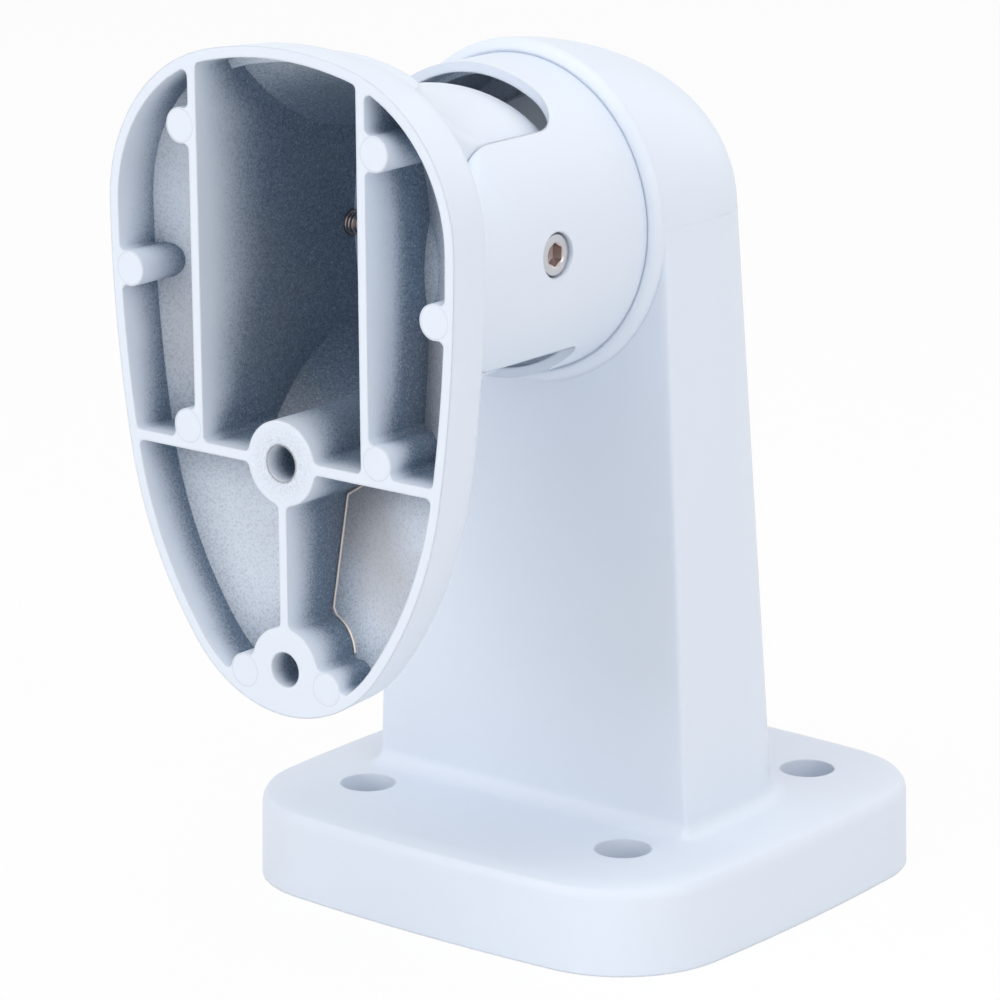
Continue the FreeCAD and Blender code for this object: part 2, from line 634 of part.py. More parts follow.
def arcs_wire(points):
    """Join a closed chain of arcs, given as start, middle and end points in turn."""
    edges = [Part.Arc(start, middle, end).toShape() for start, middle, end in points]
    return Part.Wire(edges)


def flange_wire(inset, level):
    """Outline of the wall flange: four crowned sides and four rounded corners."""
    half_x = size("base_width") / 2 - inset
    half_y = size("base_depth") / 2 - inset
    crown = size("base_crown_radius")
    corner = size("base_corner_radius") - inset
    front = V(0, crown - half_y, 0)
    side = V(half_x - crown, 0, 0)
    middle = (front + side) * 0.5
    between = side - front
    reach = math.sqrt((crown - corner) ** 2 - (between.Length / 2) ** 2)
    across = V(-between.y, between.x, 0).normalize()
    centre = middle + across * reach
    on_front = centre + (centre - front).normalize() * corner
    on_side = centre + (centre - side).normalize() * corner
    on_corner = centre + ((on_front + on_side) * 0.5 - centre).normalize() * corner

    def at(point, flip_x=1, flip_y=1):
        return V(point.x * flip_x, point.y * flip_y - size("base_offset"), level)

    return arcs_wire((
        (at(on_front, -1, 1), at(V(0, -half_y, 0)), at(on_front, 1, 1)),
        (at(on_front, 1, 1), at(on_corner, 1, 1), at(on_side, 1, 1)),
        (at(on_side, 1, 1), at(V(half_x, 0, 0)), at(on_side, 1, -1)),
        (at(on_side, 1, -1), at(on_corner, 1, -1), at(on_front, 1, -1)),
        (at(on_front, 1, -1), at(V(0, half_y, 0)), at(on_front, -1, -1)),
        (at(on_front, -1, -1), at(on_corner, -1, -1), at(on_side, -1, -1)),
        (at(on_side, -1, -1), at(V(-half_x, 0, 0)), at(on_side, -1, 1)),
        (at(on_side, -1, 1), at(on_corner, -1, 1), at(on_front, -1, 1)),
    ))


def column_wire(half_width, front, back, back_radius, front_radius, level):
    """Section of the column: flat front, small front corners and round back corners."""
    def corner(centre, radius, start_angle):
        angles = [math.radians(start_angle + step) for step in (0, 45, 90)]
        return [V(centre[0] + radius * math.cos(a), centre[1] + radius * math.sin(a), level) for a in angles]

    chain = (
        corner((half_width - front_radius, front_radius - front), front_radius, -90),
        corner((half_width - back_radius, back - back_radius), back_radius, 0),
        corner((back_radius - half_width, back - back_radius), back_radius, 90),
        corner((front_radius - half_width, front_radius - front), front_radius, 180),
    )
    edges = []
    for index, points in enumerate(chain):
        edges.append(Part.Arc(*points).toShape())
        edges.append(Part.LineSegment(points[2], chain[(index + 1) % 4][0]).toShape())
    return Part.Wire(edges)


def column_solid(inset, bottom, top):
    """Tapered column, or its hollow when inset by the wall."""
    foot_level = size("base_thickness")
    axis_level = size("axis_height")
    wires = []
    for level in (bottom, top):
        share = (level - foot_level) / (axis_level - foot_level)
        half_width = size("foot_half_width") + share * (size("head_radius") - size("foot_half_width"))
        back = size("foot_back") + share * (size("head_back") - size("foot_back"))
        front_radius = size("front_corner_radius") if inset == 0 else size("cast_fillet")
        wires.append(column_wire(
            half_width - inset, size("column_front") - inset, back - inset,
            size("back_corner_radius") - inset, front_radius, level,
        ))
    return Part.makeLoft(wires, True, True)


def head_solid(inset, front):
    """Half-round head as a solid of revolution about the swivel axis, or its hollow."""
    radius = size("head_radius") - inset
    back = size("head_back") - inset
    corner = size("back_corner_radius") - inset
    edge = size("collar_edge_radius") if inset == 0 else size("cast_fillet")
    slant = math.sqrt(0.5)
    points = {
        "front_axis": V(0, front, 0),
        "front_edge": V(radius - edge, front, 0),
        "edge_middle": V(radius - edge + edge * slant, front + edge - edge * slant, 0),
        "side_start": V(radius, front + edge, 0),
        "side_end": V(radius, back - corner, 0),
        "corner_middle": V(radius - corner + corner * slant, back - corner + corner * slant, 0),
        "back_edge": V(radius - corner, back, 0),
        "back_axis": V(0, back, 0),
    }
    wire = Part.Wire([
        Part.LineSegment(points["front_axis"], points["front_edge"]).toShape(),
        Part.Arc(points["front_edge"], points["edge_middle"], points["side_start"]).toShape(),
        Part.LineSegment(points["side_start"], points["side_end"]).toShape(),
        Part.Arc(points["side_end"], points["corner_middle"], points["back_edge"]).toShape(),
        Part.LineSegment(points["back_edge"], points["back_axis"]).toShape(),
        Part.LineSegment(points["back_axis"], points["front_axis"]).toShape(),
    ])
    solid = Part.Face(wire).revolve(V(), V(0, 1, 0), 360)
    crown_start = front + size("collar_edge_radius")
    far = 3 * size("head_radius")
    solid = solid.cut(block((-far, crown_start, 0), (far, far, far))).fuse(crown_solid(inset, crown_start))
    solid.translate(V(0, 0, size("axis_height")))
    return solid


def crown_solid(inset, start):
    """Crowned upper half of the head: half ellipses that fall from the front rim to a flat back."""
    half = size("head_radius") - inset - CROWN_STEP
    back = size("head_back") - inset - CROWN_STEP
    corner = size("back_corner_radius") - inset
    end = size("crown_end") - inset
    depths = [start + (back - corner - start) * share for share in (0.0, 0.35, 0.7)]
    depths += [back - corner + corner * math.sin(math.radians(angle)) for angle in CROWN_ANGLES]
    half_circle = Part.Arc(V(1, 0, 0), V(0, 0, 1), V(-1, 0, 0)).toShape()
    wires = []
    for depth in depths:
        turned_by = max(depth - back + corner, 0.0)
        width = half - corner + math.sqrt(max(corner ** 2 - turned_by ** 2, 0.0))
        share = min((depth - start) / (back - start), 1.0)
        fallen = (1 - share ** size("crown_fall")) ** (1 / size("crown_corner"))
        matrix = FreeCAD.Matrix()
        matrix.scale(width, 1, end + (half - end) * fallen)
        matrix.move(V(0, depth, 0))
        arc = half_circle.transformGeometry(matrix)
        base = Part.LineSegment(V(-width, depth, 0), V(width, depth, 0)).toShape()
        wires.append(Part.Wire([arc, base]))
    return Part.makeLoft(wires, True, False)


def round_bar(radius, start, end, centre=(0.0, 0.0), axis="y"):
    """Cylinder along an axis between two depths, with its centre in the other two directions."""
    if axis == "y":
        return Part.makeCylinder(radius, end - start, V(centre[0], start, centre[1]), V(0, 1, 0))
    if axis == "x":
        return Part.makeCylinder(radius, end - start, V(start, centre[0], centre[1]), V(1, 0, 0))
    return Part.makeCylinder(radius, end - start, V(centre[0], centre[1], start), V(0, 0, 1))


def block(low, high):
    """Box between two corners."""
    return Part.makeBox(high[0] - low[0], high[1] - low[1], high[2] - low[2], V(*low))


def make_arm():
    """Arm casting: crowned flange, tapered hollow column and half-round head with the swivel seat."""
    top = size("base_thickness")
    axis_level = size("axis_height")
    wall = size("cast_wall")
    draft = size("base_draft")
    shoulder = top - size("base_band_height")
    flange = Part.makeLoft([flange_wire(0, 0), flange_wire(draft, shoulder)], True, True)
    band_width = size("base_band_width")
    band_wires = [
        flange_wire(draft + across * band_width, shoulder + up * (top - shoulder))
        for across, up in BAND_PROFILE
    ]
    bands = [Part.makeLoft([lower, upper], True, True) for lower, upper in zip(band_wires, band_wires[1:])]
    column = column_solid(0.0, top - 1, axis_level)
    blank = flange.fuse(bands + [column, head_solid(0.0, -size("collar_front"))]).removeSplitter()
    foot_edges = []
    for edge in blank.Edges:
        box = edge.BoundBox
        on_top = abs(box.ZMin - top) < 0.01 and abs(box.ZMax - top) < 0.01
        inside = box.XMax < size("foot_half_width") + 1 and box.XMin > -size("foot_half_width") - 1
        if on_top and inside and box.YMax < size("foot_back") + 1 and box.YMin > -size("column_front") - 1:
            foot_edges.append(edge)
    blank = blank.makeFillet(size("foot_fillet"), foot_edges)

    bore_radius = size("housing_radius") + size("swivel_clearance")
    web_front = -size("web_front")
    web_back = web_front + size("web_thickness")
    shoulder_depth = value_of(SHOULDER_Y)
    bore = round_bar(bore_radius, -size("collar_front") - BEYOND, shoulder_depth, (0, axis_level))
    inner_radius = bore_radius - size("spigot_step")
    bore = bore.fuse(round_bar(inner_radius, shoulder_depth - 1, web_front, (0, axis_level)))
    lip = size("collar_lip_radius")
    mouth = Part.makeCone(
        bore_radius + lip, bore_radius, lip, V(0, -size("collar_front"), axis_level), V(0, 1, 0)
    )
    far = size("base_width")
    behind_web = block((-far, web_back, -far), (far, far, 2 * axis_level))
    chamber = head_solid(wall, -size("collar_front")).common(behind_web)
    column_hollow = column_solid(wall, -1.0, axis_level)
    column_hollow = column_hollow.cut(round_bar(bore_radius + wall, -far, web_back, (0, axis_level)))
    flange_hollow = Part.makeLoft(
        [flange_wire(wall, -1.0), flange_wire(wall + draft, top - size("flange_skin"))], True, True
    )
    bolt_places = [
        (side * size("bolt_spacing_x") / 2, end * size("bolt_spacing_y") / 2)
        for side in (-1, 1) for end in (-1, 1)
    ]
    boss = size("bolt_boss_diameter") / 2
    half_rib = size("flange_rib") / 2
    cores = [round_bar(boss, -2.0, top, place_of_bolt, "z") for place_of_bolt in bolt_places]
    cores.append(block((-far, -half_rib, -2), (far, half_rib, top)))
    cores.append(block((-half_rib, -far, -2), (half_rib, far, top)))
    flange_hollow = flange_hollow.cut(Part.makeCompound(cores))
    blank = blank.cut([bore, mouth]).cut(chamber.fuse(column_hollow)).cut(flange_hollow)
    hub_end = value_of(HUB_END)
    blank = blank.fuse(round_bar(size("hub_radius"), hub_end, web_front + 1, (0, axis_level)))

    holes = [round_bar(size("cable_radius"), hub_end - 1, web_back + 1, (0, axis_level))]
    seat_radius = size("bolt_head_diameter") / 2
    seat_level = top - size("bolt_head_depth")
    for place_of_bolt in bolt_places:
        holes.append(round_bar(size("bolt_hole_diameter") / 2, -2.0, top, place_of_bolt, "z"))
        holes.append(round_bar(seat_radius, seat_level, top + 1, place_of_bolt, "z"))
    screw_end = value_of(CLAMP_FRONT + " - lock_washer_thickness + clamp_screw_length") + 1.0
    clamp_bore = size("clamp_thread_radius") + size("thread_clearance")
    for across, up in clamp_places():
        centre = (value_of(across), axis_level - value_of(up))
        holes.append(round_bar(clamp_bore, hub_end - 1, screw_end, centre))
    pin_centre = (0, axis_level - size("stop_circle_radius"))
    pin_end = web_front + size("stop_pin_length") - size("stop_pin_proud")
    pin_bore = size("stop_pin_radius") + size("thread_clearance")
    holes.append(round_bar(pin_bore, web_front - 1, pin_end, pin_centre))
    arm = DOCUMENT.addObject("Part::Feature", "wall_arm_casting")
    arm.Shape = blank.cut(holes).removeSplitter()
    arm.Placement = FreeCAD.Placement()
    return keep(arm, "wall_arm")


class EggOutline:
    """Outline of the camera plate: crown, shoulders, flanks, waists and toe, all arcs tangent in turn."""

    def __init__(self):
        half = size("plate_half_width")
        wide = size("plate_wide_level")
        crown = size("plate_crown_radius")
        shoulder = size("plate_shoulder_radius")
        flank = size("plate_flank_radius")
        waist = size("plate_waist_radius")
        toe = size("plate_toe_radius")
        sweep = math.radians(size("plate_flank_sweep"))
        self.crown = (0.0, wide - math.sqrt((crown - shoulder) ** 2 - (half - shoulder) ** 2), crown)
        self.shoulder = (half - shoulder, wide, shoulder)
        self.flank = (half - flank, wide, flank)
        waist_x = half - flank + (flank - waist) * math.cos(sweep)
        waist_z = wide - (flank - waist) * math.sin(sweep)
        self.waist = (waist_x, waist_z, waist)
        self.toe = (0.0, waist_z - math.sqrt((waist - toe) ** 2 - waist_x ** 2), toe)
        self.shoulder_angle = math.atan2(wide - self.crown[1], half - shoulder)
        self.flank_angle = -sweep
        self.toe_angle = math.atan2(self.toe[1] - waist_z, -waist_x)

    def wire(self, inset, depth, share=1.0, rise=0.0):
        """Return the outline moved inwards, at a depth along Y, and scaled about the level of the axis."""
        def at(arc, angle, side=1):
            across, level, radius = arc
            radius -= inset
            return V(
                side * share * (across + radius * math.cos(angle)), depth,
                share * (level + radius * math.sin(angle)) + rise,
            )

        right = (
            (self.shoulder, self.shoulder_angle, 0.0),
            (self.flank, 0.0, self.flank_angle),
            (self.waist, self.flank_angle, self.toe_angle),
        )
        up, down = math.pi / 2, -math.pi / 2
        chain = [(
            at(self.crown, self.shoulder_angle, -1), at(self.crown, up), at(self.crown, self.shoulder_angle),
        )]
        for arc, start, end in right:
            chain.append((at(arc, start), at(arc, (start + end) / 2), at(arc, end)))
        chain.append((at(self.toe, self.toe_angle), at(self.toe, down), at(self.toe, self.toe_angle, -1)))
        for arc, start, end in reversed(right):
            chain.append((at(arc, end, -1), at(arc, (start + end) / 2, -1), at(arc, start, -1)))
        return arcs_wire(chain)


def flare_solid(throat, start, bend, back, lower):
    """Half of a flared neck about the swivel axis: straight, flared from the throat, ball or flat end."""
    reach = math.radians(75)
    front = -size("lip_forward") - 1.0
    flare_end = V(throat + bend * (1 - math.cos(reach)), start - bend * math.sin(reach), 0)
    flare_middle = V(throat + bend * (1 - math.cos(reach / 2)), start - bend * math.sin(reach / 2), 0)
    throat_end = V(throat, start, 0)
    corners = [V(0, front, 0), V(flare_end.x, front, 0), flare_end]
    edges = [Part.LineSegment(one, other).toShape() for one, other in zip(corners, corners[1:])]
    edges.append(Part.Arc(flare_end, flare_middle, throat_end).toShape())
    if back is None:
        slant = math.sqrt(0.5)
        edges.append(Part.Arc(throat_end, V(throat * slant, throat * slant, 0), V(0, throat, 0)).toShape())
        edges.append(Part.LineSegment(V(0, throat, 0), corners[0]).toShape())
    else:
        corners = [throat_end, V(throat, back, 0), V(0, back, 0), corners[0]]
        edges.extend(Part.LineSegment(one, other).toShape() for one, other in zip(corners, corners[1:]))
    solid = Part.Face(Part.Wire(edges)).revolve(V(), V(0, 1, 0), 180)
    if (solid.BoundBox.ZMin < -1) != lower:
        solid.rotate(V(), V(0, 1, 0), 180)
    return solid


def rounded_face(face, radius):
    """Round the convex corners of a flat face."""
    return face.makeOffset2D(-radius).makeOffset2D(radius)


def make_plate():
    """Camera plate casting: egg-shaped ribbed shell with a hollow knuckle; origin on the tilt axis."""
    egg = EggOutline()
    lip = -size("lip_forward")
    rim_back = lip + size("rim_depth")
    dome_back = lip + size("dome_depth")
    edge = size("rim_edge")
    wall = size("rim_wall")
    floor = size("floor_wall")
    draft = size("rim_draft")
    share, rise = size("dome_share"), size("dome_rise")
    shell = Part.makeLoft([egg.wire(0, lip), egg.wire(draft, rim_back - edge)], True, True)
    slant = 1 - math.sqrt(0.5)
    levels = (
        (draft, rim_back - edge), (draft + edge * slant * 0.5, rim_back - edge * 0.62),
        (draft + edge * slant, rim_back - edge * slant), (draft + edge, rim_back),
    )
    for lower, upper in zip(levels, levels[1:]):
        shell = shell.fuse(Part.makeLoft([egg.wire(*lower), egg.wire(*upper)], True, True))
    dome_start = draft + edge
    shell = shell.fuse(Part.makeLoft(
        [egg.wire(dome_start, rim_back), egg.wire(dome_start, dome_back, share, rise)], True, True
    ))

    half_knuckle = size("knuckle_width") / 2
    half_bore = size("knuckle_bore_width") / 2
    ball = size("ball_radius")
    neck_low = -size("rib_level") - size("rib_thickness") / 2
    neck = flare_solid(ball, 0.0, size("upper_neck_flare"), None, False)
    neck = neck.fuse(flare_solid(ball, 0.0, size("lower_neck_flare"), None, True))
    flats = block((-half_knuckle, lip - 2, -4 * ball), (half_knuckle, ball + 1, 4 * ball))
    neck = neck.common(flats).removeSplitter()
    flat_edges = []
    for candidate in neck.Edges:
        box = candidate.BoundBox
        on_flat = abs(abs(box.XMin) - half_knuckle) < 0.01 and abs(box.XMax - box.XMin) < 0.01
        if on_flat and box.YMax > lip / 2 and not isinstance(candidate.Curve, Part.Line):
            flat_edges.append(candidate)
    neck = neck.makeFillet(size("knuckle_edge_radius"), flat_edges)
    neck = neck.common(block((-ball, lip + 1, neck_low), (ball, ball + 1, 2 * ball)))
    around = Part.Face(egg.wire(draft + edge, lip)).extrude(V(0, -lip, 0))
    knob = neck.common(block((-ball, 0, -ball), (ball, ball + 1, ball)))
    neck = neck.common(around).fuse(knob)

    relief_radius = size("housing_radius") - size("ear_front_inset") + size("ear_relief")
    relief = size("relief_width")
    reliefs = Part.makeCompound([
        round_bar(relief_radius, half_knuckle, relief, (0, 0), "x"),
        round_bar(relief_radius, -relief, -half_knuckle, (0, 0), "x"),
    ])
    outer = shell.cut(reliefs).fuse(neck)

    # bays between the ribs
    lip_face = Part.Face(egg.wire(wall, lip))
    rib = size("rib_thickness")
    wide = size("plate_half_width")
    tall = 3 * wide
    rib_top = -size("rib_level") + rib / 2
    rib_outer = half_bore + rib
    boss_radius = size("camera_boss_diameter") / 2
    hole_level = -size("camera_hole_drop")
    low_level = hole_level - size("camera_hole_spacing")
    rounds = []
    for level in (hole_level, low_level):
        circle = Part.makeCircle(boss_radius, V(0, lip, level), V(0, 1, 0))
        rounds.append(Part.Face(Part.Wire(circle)))
    rounds.append(Part.Face(Part.makePolygon([
        V(-boss_radius, lip, low_level), V(boss_radius, lip, low_level), V(boss_radius, lip, -tall),
        V(-boss_radius, lip, -tall), V(-boss_radius, lip, low_level),
    ])))
    for across, level in PAD_PLACES:
        for side in (-1, 1):
            circle = Part.makeCircle(size("pad_radius"), V(side * across, lip, level), V(0, 1, 0))
            rounds.append(Part.Face(Part.Wire(circle)))

    def window(low, high):
        corners = [low, (high[0], low[1]), high, (low[0], high[1]), low]
        return Part.Face(Part.makePolygon([V(across, lip, level) for across, level in corners]))

    windows = {
        "right": window((rib_outer, rib_top), (wide, tall)),
        "left": window((-wide, rib_top), (-rib_outer, tall)),
        "centre": window((-half_bore, rib_top), (half_bore, tall)),
        "lower_right": window((rib / 2, -tall), (wide, rib_top - rib)),
        "lower_left": window((-wide, -tall), (-rib / 2, rib_top - rib)),
    }
    deep = size("dome_depth") * 3
    inner_start = draft + wall
    floor_back = rim_back - floor
    well = Part.makeLoft([egg.wire(wall, lip - 1), egg.wire(inner_start, floor_back)], True, True)
    well_end = egg.wire(inner_start + edge * slant, dome_back - floor, share, rise)
    well = well.fuse(Part.makeLoft([egg.wire(inner_start, floor_back), well_end], True, True))
    ear_bumps = Part.makeCompound([
        round_bar(relief_radius + floor - 0.3, half_bore, wide, (0, 0), "x"),
        round_bar(relief_radius + floor - 0.3, -wide, -half_bore, (0, 0), "x"),
    ])
    throat = ball - size("knuckle_wall")
    start, back = size("pocket_flare_start"), size("pocket_back")
    pocket = flare_solid(throat, start, size("upper_pocket_flare"), back, False)
    pocket = pocket.fuse(flare_solid(throat, start, size("lower_pocket_flare"), back, True))
    within = Part.Face(egg.wire(inner_start, lip - 1)).extrude(V(0, floor_back - lip + 1, 0))
    neck_inner = draft + edge + size("neck_skin")
    within = within.fuse(Part.Face(egg.wire(neck_inner, lip - 1)).extrude(V(0, size("dome_depth") * 2.5, 0)))
    pocket = pocket.common(within)
    for name, frame in windows.items():
        area = lip_face.common(frame)
        for round_face in rounds:
            area = area.cut(round_face)
        faces = [rounded_face(face, size("bay_corner_radius")) for face in area.Faces if face.Area > 30]
        prism = Part.makeCompound(faces).extrude(V(0, deep, 0))
        if name == "centre":
            front_part = prism.common(well)
            bay = front_part.fuse(prism.common(pocket))
        elif name in ("left", "right"):
            bay = prism.common(well).cut(ear_bumps)
        else:
            bay = prism.common(well)
        outer = outer.cut(bay)
    half_window = size("window_half_width")
    high_window = size("window_half_height")
    opening = block((-half_window, 0, -high_window), (half_window, ball + 1, high_window))
    along = [edge_of for edge_of in opening.Edges if edge_of.BoundBox.YLength > ball]
    opening = opening.makeFillet(size("window_corner_radius"), along)
    recess_front = size("pocket_back") + size("window_web")
    tools = [opening, round_bar(size("back_recess_radius"), recess_front, ball + 1)]
    for level in (hole_level, low_level):
        tools.append(round_bar(size("camera_hole_diameter") / 2, lip - 1, ball, (0, level)))
    ear_space = size("ear_gap") / 2 - half_knuckle
    recess = half_knuckle - (size("tilt_washer_thickness") + size("tilt_washer_gap") - ear_space)
    screw_bore = size("tilt_thread_radius") + size("thread_clearance")
    for side in (-1, 1):
        start, end = sorted((side * recess, side * (half_knuckle + 1)))
        tools.append(round_bar(size("tilt_washer_radius") + size("screw_clearance"), start, end, (0, 0), "x"))
        start, end = sorted((side * (half_bore - 2), side * (half_knuckle + 1)))
        tools.append(round_bar(screw_bore, start, end, (0, 0), "x"))
    plate = DOCUMENT.addObject("Part::Feature", "camera_plate_casting")
    plate.Shape = outer.cut(tools).removeSplitter()
    bind_place = ("0", TILT_Y, "axis_height")
    place(plate, FreeCAD.Rotation(), bind_place)
    return keep(plate, "camera_plate")


def check_and_write():
    """Check every object and each sub-part, then write the sub-parts."""
    DOCUMENT.recompute()
    for thing in DOCUMENT.Objects:
        faults = [state for state in thing.State if state in ("Invalid", "Error")]
        if faults:
            raise RuntimeError("%s is %s" % (thing.Label, faults))
    os.makedirs("parts", exist_ok=True)
    for thing in SUB_PARTS:
        shape = thing.Shape
        if shape.isNull() or not shape.isValid():
            raise RuntimeError("%s has no valid shape" % thing.Label)
        print("%-22s solids %d volume %.0f" % (thing.Label, len(shape.Solids), shape.Volume))
    for thing in SUB_PARTS:
        thing.Shape.exportStep(os.path.join("parts", thing.Label + ".step"))


make_arm()
make_housing()
make_plate()
make_swivel_rings()
make_clamp_screws()
make_tilt_hardware()
make_stop_pin()
check_and_write()
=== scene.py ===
"""Looks of a camera wall bracket: powder-coated die castings, stainless screws, plastic and rubber."""

import json
import logging
import math
from dataclasses import dataclass
from enum import Enum
from typing import Callable

import bmesh
import bpy
from mathutils import Matrix, Vector
from mathutils.bvhtree import BVHTree


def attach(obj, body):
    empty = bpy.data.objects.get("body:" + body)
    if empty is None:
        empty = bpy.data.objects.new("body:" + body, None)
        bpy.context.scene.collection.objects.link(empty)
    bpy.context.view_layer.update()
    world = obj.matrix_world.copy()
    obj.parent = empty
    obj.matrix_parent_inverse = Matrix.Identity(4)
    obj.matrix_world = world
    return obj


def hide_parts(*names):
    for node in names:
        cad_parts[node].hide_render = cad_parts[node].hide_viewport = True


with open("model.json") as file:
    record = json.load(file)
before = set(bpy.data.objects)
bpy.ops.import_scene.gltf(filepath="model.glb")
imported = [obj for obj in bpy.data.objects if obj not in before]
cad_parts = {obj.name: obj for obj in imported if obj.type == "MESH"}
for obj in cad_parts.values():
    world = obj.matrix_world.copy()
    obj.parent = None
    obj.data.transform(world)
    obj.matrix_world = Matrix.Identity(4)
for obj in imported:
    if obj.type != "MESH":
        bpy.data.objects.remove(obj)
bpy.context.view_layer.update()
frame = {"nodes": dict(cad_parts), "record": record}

LOG = logging.getLogger("bracket")
# lengths are in metres, colours are linear, shares lie between 0 and 1
MM = 0.001
PEEL_SCALE = 900.0
COAT_SPECULAR = 0.45
JOINED = 0.000004
COLLAPSED = 0.000002
SHARP_CASTING = math.radians(24)
SHARP_SCREW = math.radians(28)


class Body(Enum):
    """Bodies of the frame."""

    ARM = "arm"
    SWIVEL = "swivel"
    PLATE = "plate"


class Slot(Enum):
    """Material slots of the record."""

    POWDER_COAT = "powder_coat"
    STAINLESS = "stainless"
    ACETAL = "acetal"
    SEAL = "seal"


@dataclass(frozen=True)
class Axes:
    """Places that the CAD frame fixes, in metres."""

    axis_height: float = 0.175
    tilt_y: float = -0.0614
    lip_y: float = -0.1159


AXES = Axes()


# Shader expressions


class Graph:
    """One material's node tree, with a single method that makes any node."""

    def __init__(self, name: str) -> None:
        """Start an empty material.

        Args:
            name: the material's name.
        """
        self.material = bpy.data.materials.new(name)
        self.material.use_nodes = True
        self.tree = self.material.node_tree
        self.tree.nodes.clear()

    def node(self, kind: str, settings: dict | None = None, **inputs: object) -> bpy.types.Node:
        """Make a node, set its settings, then its sockets.

        Args:
            kind: the node's type.
            settings: attributes that are set before the sockets.
            inputs: values or links by socket name; "s0" means socket number 0.

        Returns:
            The node.
        """
        made = self.tree.nodes.new(kind)
        for key, value in (settings or {}).items():
            setattr(made, key, value)
        for name, value in inputs.items():
            key = int(name[1:]) if name[1:].isdigit() else name.replace("_", " ")
            socket = made.inputs[key]
            if isinstance(value, Wire):
                self.tree.links.new(value.socket, socket)
            else:
                socket.default_value = value
        return made

    def maths(self, operation: str, *values: object) -> "Wire":
        """Add a Math node.

        Args:
            operation: the node's operation.
            values: numbers or wires, in socket order.

        Returns:
            The result.
        """
        inputs = {"s%d" % number: value for number, value in enumerate(values)}
        return Wire(self, self.node("ShaderNodeMath", {"operation": operation}, **inputs).outputs[0])

    def blend(self, factor: object, low: tuple, high: object) -> "Wire":
        """Mix two colours.

        Args:
            factor: how much of the second colour shows.
            low: the first colour, a tuple or a wire.
            high: the second colour, a tuple or a wire.

        Returns:
            The mixed colour.
        """
        mix = self.tree.nodes.new("ShaderNodeMix")
        mix.data_type = "RGBA"
        for socket, value in ((mix.inputs[0], factor), (mix.inputs[6], low), (mix.inputs[7], high)):
            if isinstance(value, Wire):
                self.tree.links.new(value.socket, socket)
            elif isinstance(value, tuple):
                socket.default_value = (*value, 1.0)
            else:
                socket.default_value = value
        return Wire(self, mix.outputs[2])

    def place(self) -> tuple["Wire", "Wire", "Wire", "Wire"]:
        """Read the place on the object.

        Returns:
            The Object coordinate and its three parts.
        """
        coordinate = Wire(self, self.node("ShaderNodeTexCoord").outputs["Object"])
        parts = self.node("ShaderNodeSeparateXYZ", Vector=coordinate)
        return (coordinate, *(Wire(self, output) for output in parts.outputs))

    def facing(self) -> tuple["Wire", "Wire", "Wire"]:
        """Read the surface direction in the object's own space.

        Returns:
            Its three parts.
        """
        normal = Wire(self, self.node("ShaderNodeNewGeometry").outputs["Normal"])
        turned = self.node(
            "ShaderNodeVectorTransform",
            {"vector_type": "NORMAL", "convert_from": "WORLD", "convert_to": "OBJECT"}, Vector=normal,
        )
        parts = self.node("ShaderNodeSeparateXYZ", Vector=Wire(self, turned.outputs[0]))
        return tuple(Wire(self, output) for output in parts.outputs)

    def noise(self, coordinate: "Wire", scale: float, detail: float = 2.0, roughness: float = 0.5) -> "Wire":
        """Return a noise value between 0 and 1."""
        made = self.node(
            "ShaderNodeTexNoise", {"noise_dimensions": "3D"},
            Vector=coordinate, Scale=scale, Detail=detail, Roughness=roughness,
        )
        return Wire(self, made.outputs["Fac"])

    def distance(self, across: "Wire", up: "Wire") -> "Wire":
        """Return how far a place is from the point where both values are zero."""
        return self.maths("SQRT", across * across + up * up)

    def openness(self, reach: float) -> "Wire":
        """Return how open a place is within a reach: 1 on a plain face, less in corners and hollows."""
        made = self.node("ShaderNodeAmbientOcclusion", {"samples": 6, "only_local": True}, Distance=reach)
        return Wire(self, made.outputs["AO"])

    def soft_step(self, value: "Wire", low: float, high: float) -> "Wire":
        """Return 0 below low, 1 above high and a smooth rise between."""
        made = self.node(
            "ShaderNodeMapRange", {"interpolation_type": "SMOOTHSTEP"},
            Value=value, From_Min=low, From_Max=high, To_Min=0.0, To_Max=1.0,
        )
        return Wire(self, made.outputs[0])

    def bump(self, height: "Wire", distance: float, strength: float, normal: "Wire | None" = None) -> "Wire":
        """Tilt the surface direction by a height.

        Args:
            height: the height, from 0 to 1.
            distance: what a height of 1 stands for, in metres.
            strength: how much of the tilt shows.
            normal: the surface direction to start from, if it isn't the plain one.

        Returns:
            The tilted surface direction.
        """
        inputs = {"Height": height, "Distance": distance, "Strength": strength}
        if normal is not None:
            inputs["Normal"] = normal
        return Wire(self, self.node("ShaderNodeBump", None, **inputs).outputs[0])

    def eased(self, radius: float) -> "Wire":
        """Return a surface direction that is rounded over sharp edges."""
        made = self.node("ShaderNodeBevel", {"samples": 6}, Radius=radius)
        return Wire(self, made.outputs[0])

    def surface(self, **inputs: object) -> bpy.types.Material:
        """End the tree in one Principled shader.

        Args:
            inputs: values or wires by socket name.

        Returns:
            The finished material.
        """
        shader = self.node("ShaderNodeBsdfPrincipled", None, **inputs)
        output = self.node("ShaderNodeOutputMaterial")
        self.tree.links.new(shader.outputs[0], output.inputs[0])
        return self.material


